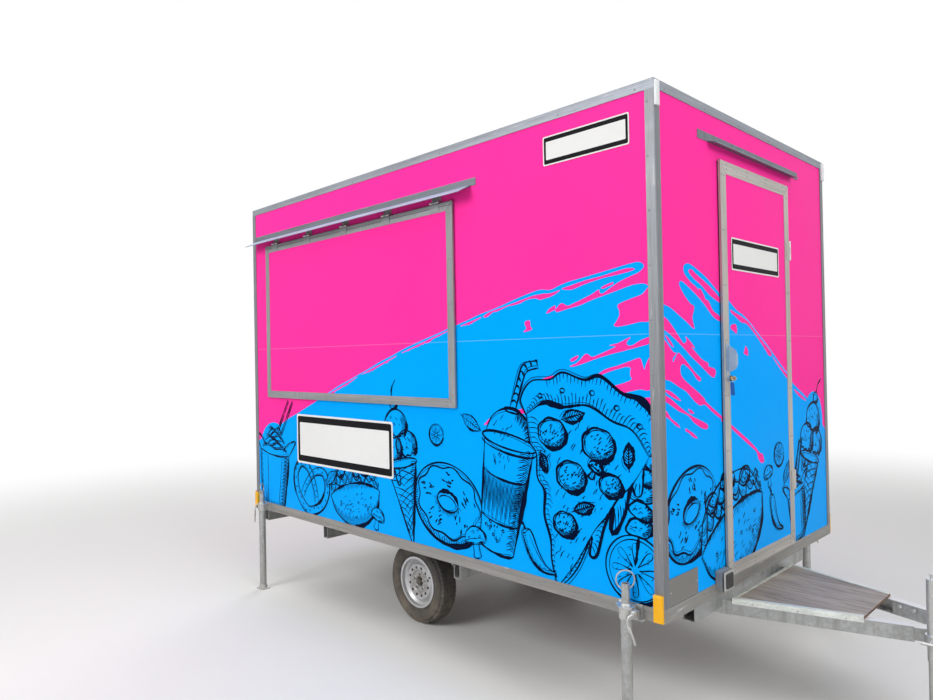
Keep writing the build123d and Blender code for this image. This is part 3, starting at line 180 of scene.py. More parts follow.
def drift_effect():
    """Colour whose brightness wanders: broad patches plus fine ones, each a noise about one half."""
    sockets = [("Where", VECTOR, (0, 0, 0)), ("Colour", COLOUR, WHITE), ("Size", FLOAT, 4.0), ("Amount", FLOAT, 0.1)]
    tree, given, result = effect("colour drift", sockets, [("Colour", COLOUR), ("Value", FLOAT)])
    broad = noise(tree, given["Where"], given["Size"], 3.0)
    fine = noise(tree, given["Where"], calc(tree, "MULTIPLY", given["Size"], 11.0), 5.0, 0.6)
    both = calc(tree, "MULTIPLY_ADD", fine, 0.4, calc(tree, "MULTIPLY", broad, 0.6))
    share = calc(tree, "MULTIPLY", calc(tree, "SUBTRACT", both, 0.5), given["Amount"])
    gain = calc(tree, "MULTIPLY_ADD", share, 2.0, 1.0)
    tree.links.new(shaded(tree, given["Colour"], gain), result["Colour"])
    tree.links.new(both, result["Value"])
    return tree


def dust_effect():
    """Road dust that thins out with height: one at the ground, nought at Reach, broken up by a noise."""
    sockets = [
        ("Where", VECTOR, (0, 0, 0)),
        ("Colour", COLOUR, WHITE),
        ("Roughness", FLOAT, 0.4),
        ("Reach", FLOAT, 1.0),
        ("Amount", FLOAT, 0.4),
    ]
    tree, given, result = effect("dust", sockets, [("Colour", COLOUR), ("Roughness", FLOAT)])
    height = apart(tree, given["Where"])[2]
    low = spread(tree, calc(tree, "DIVIDE", height, given["Reach"]), 0.0, 1.0, 1.0, 0.0)
    patches = spread(tree, noise(tree, given["Where"], 9.0, 7.0, 0.65), 0.35, 0.7, 0.25, 1.0)
    share = calc(tree, "MULTIPLY", calc(tree, "MULTIPLY", low, patches), given["Amount"])
    tree.links.new(mixed(tree, share, given["Colour"], SOIL), result["Colour"])
    dull = calc(tree, "MULTIPLY_ADD", share, calc(tree, "SUBTRACT", 0.9, given["Roughness"]), given["Roughness"])
    tree.links.new(dull, result["Roughness"])
    return tree


def grain_effect():
    """Drawn metal: noise on coordinates shortened along the metal's length, so that it runs into fine lines."""
    sockets = [("Where", VECTOR, (0, 0, 0)), ("Stretch", VECTOR, (1, 1, 0.02)), ("Fineness", FLOAT, 300.0)]
    tree, given, result = effect("drawn grain", sockets, [("Value", FLOAT), ("Height", FLOAT)])
    where = stretched(tree, given["Where"], given["Stretch"])
    fine = noise(tree, where, given["Fineness"], 3.0)
    broad = noise(tree, where, calc(tree, "MULTIPLY", given["Fineness"], 0.12), 3.0)
    tree.links.new(calc(tree, "MULTIPLY_ADD", fine, 0.5, calc(tree, "MULTIPLY", broad, 0.5)), result["Value"])
    tree.links.new(fine, result["Height"])
    return tree


def spangle_effect():
    """Hot-dip zinc: flat crystal cells, each with a brightness of its own, and cloudy runs across them."""
    sockets = [("Where", VECTOR, (0, 0, 0)), ("Cells", FLOAT, 60.0)]
    tree, given, result = effect("zinc spangle", sockets, [("Value", FLOAT), ("Height", FLOAT)])
    warp = put(tree, "ShaderNodeTexNoise", {"Vector": given["Where"], "Scale": 30.0, "Detail": 3.0}).outputs[1]
    shift = {0: warp, 1: (0.02, 0.02, 0.02), 2: given["Where"]}
    bent = put(tree, "ShaderNodeVectorMath", shift, operation="MULTIPLY_ADD").outputs[0]
    cells = put(tree, "ShaderNodeTexVoronoi", {"Vector": bent, "Scale": given["Cells"]})
    shade = put(tree, "ShaderNodeSeparateColor", {0: cells.outputs["Color"]}).outputs[0]
    cloud = noise(tree, given["Where"], 7.0, 6.0, 0.6)
    tree.links.new(calc(tree, "MULTIPLY_ADD", shade, 0.4, calc(tree, "MULTIPLY", cloud, 0.6)), result["Value"])
    tree.links.new(calc(tree, "MULTIPLY_ADD", cells.outputs["Distance"], 0.5, cloud), result["Height"])
    return tree


def joint_effect():
    """Butt joint of two sheets: a hair line at one height, lighter than the sheet and slightly sunk."""
    sockets = [("Where", VECTOR, (0, 0, 0)), ("Colour", COLOUR, WHITE), ("Level", FLOAT, JOINT_HEIGHT)]
    tree, given, result = effect("sheet joint", sockets, [("Colour", COLOUR), ("Height", FLOAT)])
    away = far_from(tree, apart(tree, given["Where"])[2], given["Level"])
    line = spread(tree, away, 0.0008, 0.003, 1.0, 0.0)
    pale = mixed(tree, 0.11, given["Colour"], (0.9, 0.9, 0.95, 1))
    tree.links.new(mixed(tree, line, given["Colour"], pale), result["Colour"])
    tree.links.new(calc(tree, "SUBTRACT", 1.0, line), result["Height"])
    return tree


def scratch_effect():
    """Fine scratches: places where a long stretched noise passes one half, kept only in patches."""
    sockets = [("Where", VECTOR, (0, 0, 0)), ("Stretch", VECTOR, (1, 1, 0.05)), ("Count", FLOAT, 30.0)]
    tree, given, result = effect("scratches", sockets, [("Mask", FLOAT)])
    long_noise = noise(tree, stretched(tree, given["Where"], given["Stretch"]), given["Count"], 2.0)
    line = spread(tree, far_from(tree, long_noise, 0.5), 0.0, 0.012, 1.0, 0.0)
    patch = spread(tree, noise(tree, given["Where"], 3.0, 4.0), 0.52, 0.66)
    tree.links.new(calc(tree, "MULTIPLY", line, patch), result["Mask"])
    return tree


def mitre_effect():
    """Frame cut at 45 degrees: upright where the nearest side edge is closer than the nearest end edge, and a line
    where both are equally near."""
    sockets = [
        ("Across", FLOAT, 0.0),
        ("Up", FLOAT, 0.0),
        ("Centre Across", FLOAT, 0.0),
        ("Centre Up", FLOAT, 0.0),
        ("Half Width", FLOAT, 1.0),
        ("Half Height", FLOAT, 1.0),
    ]
    tree, given, result = effect("mitred frame", sockets, [("Upright", FLOAT), ("Line", FLOAT)])
    side = calc(tree, "SUBTRACT", given["Half Width"], far_from(tree, given["Across"], given["Centre Across"]))
    end = calc(tree, "SUBTRACT", given["Half Height"], far_from(tree, given["Up"], given["Centre Up"]))
    lead = calc(tree, "SUBTRACT", end, side)
    tree.links.new(calc(tree, "GREATER_THAN", lead, 0.0), result["Upright"])
    tree.links.new(spread(tree, calc(tree, "ABSOLUTE", lead), 0.0005, 0.0016, 1.0, 0.0), result["Line"])
    return tree


DRIFT = drift_effect()
DUST = dust_effect()
GRAIN = grain_effect()
SPANGLE = spangle_effect()
JOINT = joint_effect()
SCRATCH = scratch_effect()
MITRE = mitre_effect()


class Surface:
    """A material being wired up: its tree, its Principled shader and the Object coordinates."""

    def __init__(self, name, **shader):
        self.material = bpy.data.materials.new(name)
        self.material.use_nodes = True
        self.tree = self.material.node_tree
        self.shader = self.tree.nodes["Principled BSDF"]
        self.where = put(self.tree, "ShaderNodeTexCoord").outputs["Object"]
        for label, value in shader.items():
            self.shader.inputs[label.replace("_", " ")].default_value = value

    def of(self, group, **inputs):
        """Places an effect and gives its outputs. Where is the Object coordinates if the effect has it."""
        given = {"Where": self.where} if "Where" in [s.name for s in group.interface.items_tree] else {}
        given.update({label.replace("_", " "): value for label, value in inputs.items()})
        return put(self.tree, "ShaderNodeGroup", given, node_tree=group).outputs

    def facing(self, axis):
        """How far the surface faces along an axis: one part of its normal."""
        return apart(self.tree, put(self.tree, "ShaderNodeNewGeometry").outputs["Normal"])[axis]

    def feed(self, label, value):
        """Links a value to a socket of the shader."""
        self.tree.links.new(value, self.shader.inputs[label])

    def bump(self, height, strength, distance):
        """Surface relief: height times distance in metres."""
        inputs = {"Height": height, "Strength": strength, "Distance": distance}
        self.feed("Normal", put(self.tree, "ShaderNodeBump", inputs).outputs[0])

    def uneven(self, value, low, high):
        """Roughness between two bounds, led by a value that wanders about one half."""
        return spread(self.tree, value, 0.3, 0.7, low, high)

    def finish(self, colour, roughness, reach, amount):
        """Colour and roughness under a coat of dust."""
        dusty = self.of(DUST, Colour=colour, Roughness=roughness, Reach=reach, Amount=amount)
        self.feed("Base Color", dusty["Colour"])
        self.feed("Roughness", dusty["Roughness"])
        return self.material


# The wrap's low gloss, and how high its dust reaches and how thick it lies
FILM_GLOSS = 0.02
PANEL_DUST = (0.90, 0.07)


def panel_waves(s):
    """Height of a panel's skin: slow waves and a fine orange peel, each a noise."""
    peel = noise(s.tree, s.where, 240.0, 2.0)
    waves = noise(s.tree, s.where, 5.0, 2.0)
    return calc(s.tree, "MULTIPLY_ADD", waves, 1.4, calc(s.tree, "MULTIPLY", peel, 0.03))


def film_surface(name, colour, roughness=0.30, amount=0.06, dust=PANEL_DUST[1]):
    """Printed film on a flat sheet: even colour with the faint orange peel of the panel under it."""
    s = Surface(name, Specular_IOR_Level=FILM_GLOSS)
    drifted = s.of(DRIFT, Colour=colour, Size=1.6, Amount=amount)
    joint = s.of(JOINT, Colour=drifted["Colour"])
    s.bump(calc(s.tree, "ADD", panel_waves(s), joint["Height"]), 0.25, 0.0012)
    rough = s.uneven(drifted["Value"], roughness, roughness + 0.10)
    return s.finish(joint["Colour"], rough, PANEL_DUST[0], dust)


def panel_surface(name, wall):
    """Sandwich panel: pink film where the surface lies on the outer skin, white gel coat elsewhere."""
    s = Surface(name, Specular_IOR_Level=FILM_GLOSS)
    reach = put(s.tree, "ShaderNodeVectorMath", {0: s.where, 1: wall.outward}, operation="DOT_PRODUCT").outputs["Value"]
    outside = calc(s.tree, "GREATER_THAN", reach, wall.skin - 0.001)
    pink = s.of(DRIFT, Colour=PINK, Size=1.6, Amount=0.06)
    white = s.of(DRIFT, Colour=WHITE, Size=2.0, Amount=0.07)
    joint = s.of(JOINT, Colour=pink["Colour"])
    colour = mixed(s.tree, outside, white["Colour"], joint["Colour"])
    s.bump(calc(s.tree, "MULTIPLY_ADD", joint["Height"], outside, panel_waves(s)), 0.25, 0.0012)
    rough = s.uneven(pink["Value"], 0.30, 0.40)
    return s.finish(colour, rough, *PANEL_DUST)


# How the drawn grain runs: coordinates are shortened along the metal's length
UPRIGHT = (1, 1, 0.02)
LENGTHWISE = (0.02, 1, 1)
CROSSWISE = (1, 0.02, 1)
LEVEL = (0.02, 0.02, 1)


def aluminium_surface(name, stretch, frame_box=None, across="X", base=(0.300, 0.308, 0.322, 1), painted_top_light=None):
    """Mill-finish aluminium: drawn grain along its length, grey cloudiness and scratches. A frame's box turns the grain
    at the mitres and marks the cuts. The colour given for faces that lean upwards is a painted highlight, as if light
    fell on their tops."""
    s = Surface(name, Metallic=0.5)
    grain = s.of(GRAIN, Stretch=stretch, Fineness=260.0)
    value = grain["Value"]
    scratch = s.of(SCRATCH, Stretch=stretch, Count=40.0)["Mask"]
    line = None
    if frame_box:
        parts = apart(s.tree, s.where)
        low, high, bottom, top = frame_box
        cut = s.of(
            MITRE,
            Across=parts[0] if across == "X" else parts[1],
            Up=parts[2],
            Centre_Across=(low + high) / 2,
            Centre_Up=(bottom + top) / 2,
            Half_Width=(high - low) / 2,
            Half_Height=(top - bottom) / 2,
        )
        flat = s.of(GRAIN, Stretch=LENGTHWISE if across == "X" else CROSSWISE, Fineness=260.0)
        value = spread(s.tree, cut["Upright"], 0.0, 1.0, flat["Value"], grain["Value"])
        line = cut["Line"]
    # Painted light: faces that lean upwards take the lighter colour
    if painted_top_light:
        base = mixed(s.tree, calc(s.tree, "GREATER_THAN", s.facing(2), 0.2), base, painted_top_light)
    drifted = s.of(DRIFT, Colour=base, Size=2.6, Amount=0.22)
    colour = shaded(s.tree, drifted["Colour"], spread(s.tree, value, 0.2, 0.8, 0.62, 1.18))
    colour = mixed(s.tree, calc(s.tree, "MULTIPLY", scratch, 0.5), colour, (0.8, 0.8, 0.8, 1))
    height = calc(s.tree, "SUBTRACT", value, calc(s.tree, "MULTIPLY", scratch, 0.4))
    if line:
        colour = mixed(s.tree, line, colour, (0.05, 0.05, 0.05, 1))
        height = calc(s.tree, "SUBTRACT", height, calc(s.tree, "MULTIPLY", line, 2.0))
    s.bump(height, 0.35, 0.0004)
    rough = s.uneven(drifted["Value"], 0.42, 0.60)
    return s.finish(colour, rough, 0.9, 0.35)


def zinc_surface(name, cells, dark, light, roughness, dust, relief=0.3):
    """Galvanised or plated steel: crystal cells between a dark and a light grey, with dull clouded runs, and a painted
    highlight that lightens faces pointing straight up.
    """
    s = Surface(name, Metallic=0.75)
    flake = s.of(SPANGLE, Cells=cells)
    colour = mixed(s.tree, spread(s.tree, flake["Value"], 0.3, 0.72), dark, light)
    stain = spread(s.tree, noise(s.tree, s.where, 5.0, 8.0, 0.7), 0.56, 0.72, 0.0, 0.3)
    colour = mixed(s.tree, stain, colour, (0.55, 0.55, 0.53, 1))
    runs = spread(s.tree, noise(s.tree, stretched(s.tree, s.where, (1, 1, 0.12)), 26.0, 5.0, 0.6), 0.48, 0.66, 0.0, 0.5)
    rising = s.facing(2)
    upward = spread(s.tree, rising, 0.3, 0.8, 1.0, 0.0)
    colour = mixed(s.tree, calc(s.tree, "MULTIPLY", runs, upward), colour, (0.235, 0.245, 0.215, 1))
    # Painted highlight: faces that point straight up are lightened towards a pale grey, as if lit from above
    colour = mixed(s.tree, spread(s.tree, rising, 0.90, 0.99, 0.0, 0.8), colour, (0.80, 0.82, 0.85, 1))
    s.bump(flake["Height"], relief, 0.0004)
    rough = s.uneven(flake["Value"], roughness, roughness + 0.12)
    return s.finish(colour, rough, 0.75, dust)


def sheet_surface(name, colour, roughness):
    """Bright folded sheet: near even plating with cross-brushed lines, light scratches and finger dulling."""
    s = Surface(name, Metallic=0.9)
    grain = s.of(GRAIN, Stretch=LENGTHWISE, Fineness=420.0)
    drifted = s.of(DRIFT, Colour=colour, Size=9.0, Amount=0.14)
    scratch = s.of(SCRATCH, Stretch=(1, 1, 0.3), Count=90.0)["Mask"]
    marked = mixed(s.tree, calc(s.tree, "MULTIPLY", scratch, 0.35), drifted["Colour"], (0.9, 0.9, 0.9, 1))
    s.bump(calc(s.tree, "SUBTRACT", grain["Height"], scratch), 0.12, 0.0002)
    dull = spread(s.tree, noise(s.tree, s.where, 26.0, 5.0, 0.6), 0.42, 0.64, 0.0, 0.22)
    rough = calc(s.tree, "ADD", s.uneven(grain["Value"], roughness, roughness + 0.08), dull)
    return s.finish(marked, rough, 0.5, 0.1)


def rubber_surface(name, colour, dust, reach):
    """Black rubber with a fine matt grain and a coat of dust that thins out with height."""
    s = Surface(name)
    drifted = s.of(DRIFT, Colour=colour, Size=9.0, Amount=0.35)
    fine = noise(s.tree, s.where, 900.0, 3.0)
    cracks = noise(s.tree, s.where, 120.0, 6.0, 0.7)
    s.bump(calc(s.tree, "MULTIPLY_ADD", cracks, 0.6, fine), 0.4, 0.0005)
    rough = s.uneven(drifted["Value"], 0.62, 0.82)
    return s.finish(drifted["Colour"], rough, reach, dust)


def paint_surface(name, colour, roughness, metallic=0.0, dust=0.3, coat=0.3):
    """Sprayed or moulded finish: slight colour drift, orange peel and small chips down to grey."""
    s = Surface(name, Metallic=metallic, Coat_Weight=coat, Coat_Roughness=0.15)
    drifted = s.of(DRIFT, Colour=colour, Size=12.0, Amount=0.16)
    chips = spread(s.tree, noise(s.tree, s.where, 160.0, 8.0, 0.75), 0.66, 0.70, 0.0, 0.7)
    patina = mixed(s.tree, chips, drifted["Colour"], (0.32, 0.31, 0.29, 1))
    peel = noise(s.tree, s.where, 420.0, 2.0)
    s.bump(calc(s.tree, "SUBTRACT", peel, chips), 0.3, 0.0003)
    rough = s.uneven(drifted["Value"], roughness, roughness + 0.14)
    return s.finish(patina, rough, 0.8, dust)


def lens_surface(name, colour):
    """Moulded lamp lens: upright prism ribs under a clear glossy skin, their colour painted darker and lighter across
    each rib as shade and light.
    """
    s = Surface(name, Coat_Weight=0.12, Coat_Roughness=0.08, Specular_IOR_Level=0.2)
    parts = apart(s.tree, s.where)
    run = calc(s.tree, "ADD", parts[0], parts[1])
    ribs = calc(s.tree, "SINE", calc(s.tree, "MULTIPLY", run, 1400.0))
    rows = calc(s.tree, "SINE", calc(s.tree, "MULTIPLY", parts[2], 900.0))
    relief = calc(s.tree, "MULTIPLY_ADD", rows, 0.5, ribs)
    drifted = s.of(DRIFT, Colour=colour, Size=20.0, Amount=0.10)
    # Painted shade and light: the colour darkens and lightens across each rib, as light on the prism faces would
    rib_shaded = shaded(s.tree, drifted["Colour"], spread(s.tree, ribs, -1.0, 1.0, 0.78, 1.1))
    s.bump(relief, 0.5, 0.0006)
    rough = s.uneven(drifted["Value"], 0.12, 0.22)
    return s.finish(rib_shaded, rough, 0.8, 0.12)


def deck_surface():
    """Film-faced plywood step: brown board under a pale bloom scrubbed into lines along its length, with a pressed mesh
    pattern and a coat of dust. The bare front edge shows the brown plies."""
    s = Surface("deck board", Specular_IOR_Level=0.3)
    parts = apart(s.tree, s.where)
    first = calc(s.tree, "SINE", calc(s.tree, "MULTIPLY", calc(s.tree, "ADD", parts[0], parts[1]), 1150.0))
    second = calc(s.tree, "SINE", calc(s.tree, "MULTIPLY", calc(s.tree, "SUBTRACT", parts[0], parts[1]), 1150.0))
    mesh = calc(s.tree, "MULTIPLY", first, second)
    base = s.of(DRIFT, Colour=(0.205, 0.168, 0.150, 1), Size=6.0, Amount=0.4)
    lines = noise(s.tree, stretched(s.tree, s.where, (0.04, 1, 1)), 150.0, 6.0, 0.7)
    broad = noise(s.tree, stretched(s.tree, s.where, (0.25, 1, 1)), 7.0, 6.0, 0.65)
    worn = spread(s.tree, calc(s.tree, "MULTIPLY_ADD", lines, 0.6, calc(s.tree, "MULTIPLY", broad, 0.4)), 0.40, 0.60)
    colour = mixed(s.tree, calc(s.tree, "MULTIPLY", worn, 0.85), base["Colour"], (0.50, 0.455, 0.41, 1))
    colour = mixed(s.tree, spread(s.tree, mesh, 0.2, 1.0, 0.0, 0.18), colour, (0.55, 0.50, 0.46, 1))
    colour = mixed(s.tree, calc(s.tree, "GREATER_THAN", s.facing(0), 0.5), colour, (0.150, 0.085, 0.052, 1))
    s.bump(mesh, 0.35, 0.0005)
    rough = spread(s.tree, worn, 0.0, 1.0, 0.5, 0.75)
    return s.finish(colour, rough, 1.2, 0.2)


def floor_board_surface():
    """Floor panel: grey speckled vinyl above, brown film-faced board below."""
    s = Surface("floor board")
    up = calc(s.tree, "GREATER_THAN", apart(s.tree, s.where)[2], 0.60)
    vinyl = s.of(DRIFT, Colour=(0.30, 0.31, 0.32, 1), Size=3.0, Amount=0.2)
    board = s.of(DRIFT, Colour=(0.13, 0.075, 0.05, 1), Size=5.0, Amount=0.4)
    specks = spread(s.tree, noise(s.tree, s.where, 300.0, 2.0), 0.60, 0.66, 0.0, 0.5)
    speckled = mixed(s.tree, specks, vinyl["Colour"], (0.6, 0.6, 0.6, 1))
    colour = mixed(s.tree, up, board["Colour"], speckled)
    s.bump(noise(s.tree, s.where, 350.0, 3.0), 0.3, 0.0004)
    rough = s.uneven(vinyl["Value"], 0.4, 0.6)
    return s.finish(colour, rough, 0.7, 0.3)


def rim_surface():
    """Silver wheel paint, greyed by brake dust round the hub and in the vents."""
    s = Surface("silver wheel paint", Metallic=0.55, Coat_Weight=0.3, Coat_Roughness=0.2)
    parts = apart(s.tree, s.where)
    run = calc(s.tree, "SUBTRACT", parts[0], AXLE[0])
    rise = calc(s.tree, "SUBTRACT", parts[2], AXLE[1])
    squares = [calc(s.tree, "MULTIPLY", way, way) for way in (run, rise)]
    radius = calc(s.tree, "SQRT", calc(s.tree, "ADD", *squares))
    drifted = s.of(DRIFT, Colour=(0.60, 0.61, 0.63, 1), Size=18.0, Amount=0.2)
    flakes = noise(s.tree, s.where, 1500.0, 1.0)
    soot = spread(s.tree, radius, 0.060, 0.125, 0.75, 0.1)
    soot = calc(s.tree, "MULTIPLY", soot, spread(s.tree, noise(s.tree, s.where, 40.0, 6.0, 0.7), 0.35, 0.65, 0.4, 1.0))
    colour = mixed(s.tree, soot, drifted["Colour"], (0.16, 0.14, 0.12, 1))
    s.bump(flakes, 0.15, 0.0002)
    rough = spread(s.tree, soot, 0.0, 0.8, 0.32, 0.65)
    return s.finish(colour, rough, 0.55, 0.35)


pink_film = film_surface("pink film", PINK)
blue_film = film_surface("blue film", BLUE)
navy_ink = film_surface("navy line print", NAVY, 0.36, 0.3, 0.015)
white_film = film_surface("white film", (0.77, 0.77, 0.76, 1), 0.28, 0.06)
black_film = film_surface("black film", BLACK, 0.3, 0.3)
post_metal = aluminium_surface("aluminium upright", UPRIGHT, base=(0.225, 0.236, 0.255, 1))
rail_metal = aluminium_surface("aluminium rail", LEVEL, base=(0.315, 0.308, 0.290, 1))
roof_metal = aluminium_surface("aluminium roof rail", LEVEL, base=(0.29, 0.31, 0.35, 1))
# The blades' upward faces are painted a light blue-grey as lit tops, and the other faces keep the darker base as
# painted shade
blade_lit_and_shaded_tones = {"base": (0.175, 0.195, 0.225, 1), "painted_top_light": (0.47, 0.60, 0.78, 1)}
blade_metal = aluminium_surface("aluminium blade", LENGTHWISE, **blade_lit_and_shaded_tones)
hatch_metal = aluminium_surface("aluminium hatch frame", UPRIGHT, HATCH_LEAF, "X")
door_metal = aluminium_surface("aluminium door frame", UPRIGHT, DOOR_LEAF, "Y", base=(0.50, 0.475, 0.445, 1))
angle_metal = aluminium_surface("aluminium angle", LENGTHWISE, base=(0.82, 0.86, 0.81, 1))
galvanised = zinc_surface("galvanised steel", 70.0, (0.35, 0.36, 0.355, 1), (0.44, 0.45, 0.445, 1), 0.42, 0.30, 0.15)
plated = zinc_surface("bright zinc", 160.0, (0.47, 0.47, 0.455, 1), (0.54, 0.54, 0.52, 1), 0.30, 0.20, 0.06)
bright_sheet = sheet_surface("bright folded sheet", (0.33, 0.43, 0.56, 1), 0.26)
plate_grey = paint_surface("dull grey plate", (0.185, 0.178, 0.165, 1), 0.42, dust=0.2, coat=0.0)
pale_plastic = paint_surface("pale grey plastic", (0.42, 0.42, 0.41, 1), 0.45, dust=0.3, coat=0.05)
dark_plastic = paint_surface("dark plastic", (0.020, 0.020, 0.022, 1), 0.38, dust=0.3, coat=0.1)
black_rubber = rubber_surface("black rubber", (0.022, 0.022, 0.022, 1), 0.35, 0.9)
tyre_rubber = rubber_surface("tyre rubber", (0.028, 0.028, 0.028, 1), 0.60, 0.75)
drum_paint = paint_surface("black drum paint", (0.02, 0.02, 0.02, 1), 0.45, dust=0.6)
strut_paint = paint_surface("black strut paint", (0.018, 0.018, 0.02, 1), 0.3, dust=0.0)
grey_plastic = paint_surface("grey plastic", (0.27, 0.262, 0.25, 1), 0.45, dust=0.35, coat=0.1)
bright_steel = paint_surface("polished rod", (0.72, 0.72, 0.73, 1), 0.12, metallic=1.0, dust=0.0, coat=0.0)
brass = paint_surface("brass", (0.72, 0.50, 0.20, 1), 0.28, metallic=0.9, dust=0.1, coat=0.0)
tag_blue = paint_surface("blue key tag", (0.0, 0.10, 0.40, 1), 0.45, dust=0.0, coat=0.0)

FINISHES = (
    (panel_surface("panel right", RIGHT), ["wall_right"]),
    (panel_surface("panel left", LEFT), ["wall_left"]),
    (panel_surface("panel front", FRONT), ["wall_front"]),
    (panel_surface("panel rear", REAR), ["wall_rear"]),
    (panel_surface("panel hatch", ON_HATCH), ["hatch_panel"]),
    (panel_surface("panel door", ON_DOOR), ["door_panel"]),
    (film_surface("white roof skin", (0.66, 0.66, 0.65, 1), 0.45, 0.12), ["roof_panel"]),
    (floor_board_surface(), ["floor_panel"]),
    (deck_surface(), ["step_deck"]),
    (rail_metal, ["floor_edge_rail"]),
    (roof_metal, ["roof_edge_rail"]),
    (post_metal, ["corner_posts"]),
    (hatch_metal, ["hatch_frame", "hatch_jamb"]),
    (door_metal, ["door_frame", "door_jamb"]),
    (blade_metal, ["rain_gutters"]),
    (angle_metal, ["deck_edge_angles"]),
    (bright_sheet, ["door_latch"]),
    (plated, ["hatch_hinges", "door_hinges", "coupling_head", "handbrake_lever", "prop_clamps", "jockey_clamp"]),
    (plated, ["jockey_outer", "jockey_inner", "jockey_fork"]),
    (galvanised, ["chassis_frame", "drawbar_beams", "overrun_coupling", "axle_beam", "axle_arms"]),
    (galvanised, [f"prop_{end}_{side}" for end in ("front", "rear") for side in ("left", "right")]),
    (black_rubber, ["coupling_gaiter", "jockey_wheel"]),
    (tyre_rubber, ["tyre_left", "tyre_right"]),
    (rim_surface(), ["rim_left", "rim_right"]),
    (drum_paint, ["brake_drum_left", "brake_drum_right"]),
    (strut_paint, ["strut_barrel_front", "strut_barrel_rear"]),
    (bright_steel, ["strut_rod_front", "strut_rod_rear"]),
    (lens_surface("amber lens", (1.0, 0.50, 0.010, 1)), ["side_markers"]),
    (lens_surface("clear lens", (0.78, 0.80, 0.82, 1)), ["clearance_lamps"]),
    (lens_surface("red lens", (0.62, 0.015, 0.01, 1)), ["rear_lamps"]),
    (grey_plastic, ["inlet_box"]),
)
finish_of = {node_name: finish for finish, node_names in FINISHES for node_name in node_names}
for node_name, node_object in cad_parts.items():
    for material_slot in node_object.material_slots:
        material_slot.material = finish_of[node_name]


# Mesh helpers
def piece(name, points, faces, body, material, smooth=True):
    """A mesh from whole arrays of points and faces, riding on a body. Points that fall together, as at a pole, become
    one, and a face keeps each of its points once."""
    mesh = bpy.data.meshes.new(name)
    points = np.round(np.asarray(points, float).reshape(-1, 3), 7)
    points, index = np.unique(points, axis=0, return_inverse=True)
    corners = [list(dict.fromkeys(face)) for face in index.reshape(-1)[np.asarray(faces, int)].tolist()]
    mesh.from_pydata(points.tolist(), [], [face for face in corners if len(face) > 2])
    mesh.polygons.foreach_set("use_smooth", np.full(len(mesh.polygons), smooth))
    mesh.materials.append(material)
    mesh.update()
    made = bpy.data.objects.new(name, mesh)
    bpy.context.scene.collection.objects.link(made)
    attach(made, body)
    return made


def grid_faces(rows, columns, wrap_rows=False, wrap_columns=False):
    """Quads that join each point of a rows by columns grid to its next neighbours."""
    i = np.arange(rows if wrap_rows else rows - 1)
    j = np.arange(columns if wrap_columns else columns - 1)
    i, j = np.meshgrid(i, j, indexing="ij")
    next_i = (i + 1) % rows
    next_j = (j + 1) % columns
    corners = [i * columns + j, next_i * columns + j, next_i * columns + next_j, i * columns + next_j]
    return np.stack(corners, -1).reshape(-1, 4)


def unit(directions):
    """Directions divided by their lengths."""
    return directions / np.maximum(np.linalg.norm(directions, axis=-1, keepdims=True), 1e-9)


def square_to(along):
    """Flat directions turned by a right angle."""
    return np.stack([-along[..., 1], along[..., 0]], -1)


def full_turn(count):
    """Even angles of a full turn, the last one short of the first."""
    return np.linspace(0, 2 * np.pi, count, endpoint=False)


def raised(flat, lift):
    """Flat places with their distance off the wall as a third number."""
    flat = np.asarray(flat, float)
    return np.concatenate([flat, np.full(flat.shape[:-1] + (1,), lift)], -1)


def cut_off(triangles, axis, limit, sign):
    """Keeps what lies on one side of a line. A triangle that the line crosses is turned so that its lone corner comes
    first, and its two crossing edges are divided where their signed distance is nought."""
    distance = sign * (triangles[:, :, axis] - limit)
    inside = distance >= 0
    kept = [triangles[inside.all(1)]]
    for lone_inside in (True, False):
        chosen = inside.sum(1) == (1 if lone_inside else 2)
        t, d, n = triangles[chosen], distance[chosen], inside[chosen]
        first = (n if lone_inside else ~n).argmax(1)
        order = (first[:, None] + np.arange(3)) % 3
        t = np.take_along_axis(t, order[:, :, None], 1)
        d = np.take_along_axis(d, order, 1)
        a, b, c = t[:, 0], t[:, 1], t[:, 2]
        ab = a + (b - a) * (d[:, 0] / (d[:, 0] - d[:, 1]))[:, None]
        ac = a + (c - a) * (d[:, 0] / (d[:, 0] - d[:, 2]))[:, None]
        if lone_inside:
            kept.append(np.stack([a, ab, ac], 1))
        else:
            kept.append(np.stack([ab, b, c], 1))
            kept.append(np.stack([ab, c, ac], 1))
    return np.concatenate(kept)


def within(triangles, rectangle):
    """Triangles cut to a rectangle (low along, high along, low, high)."""
    low, high, bottom, top = rectangle
    for axis, limit, sign in ((0, low, 1), (0, high, -1), (1, bottom, 1), (1, top, -1)):
        triangles = cut_off(triangles, axis, limit, sign)
    return triangles


def around(outer, hole):
    """The four rectangles left of an outer one round a hole."""
    low, high, bottom, top = outer
    a, b, c, d = hole
    return [(low, a, bottom, top), (b, high, bottom, top), (a, b, bottom, c), (a, b, d, top)]


SIDE_OUTER = (BODY_REAR + POST_FACE, BODY_FRONT - POST_FACE, RAIL_TOP, ROOF_RAIL_LOW)
END_OUTER = (-BODY_SIDE + POST_FACE, BODY_SIDE - POST_FACE, RAIL_TOP, ROOF_RAIL_LOW)
SIDES = {
    "right": [(RIGHT, "trailer", around(SIDE_OUTER, HATCH_CUT)), (ON_HATCH, "hatch", [HATCH_SHOWN])],
    "front": [(FRONT, "trailer", around(END_OUTER, DOOR_CUT)), (ON_DOOR, "door", [DOOR_SHOWN])],
    "left": [(LEFT, "trailer", [(-SIDE_OUTER[1], -SIDE_OUTER[0], RAIL_TOP, ROOF_RAIL_LOW)])],
    "rear": [(REAR, "trailer", [END_OUTER])],
}


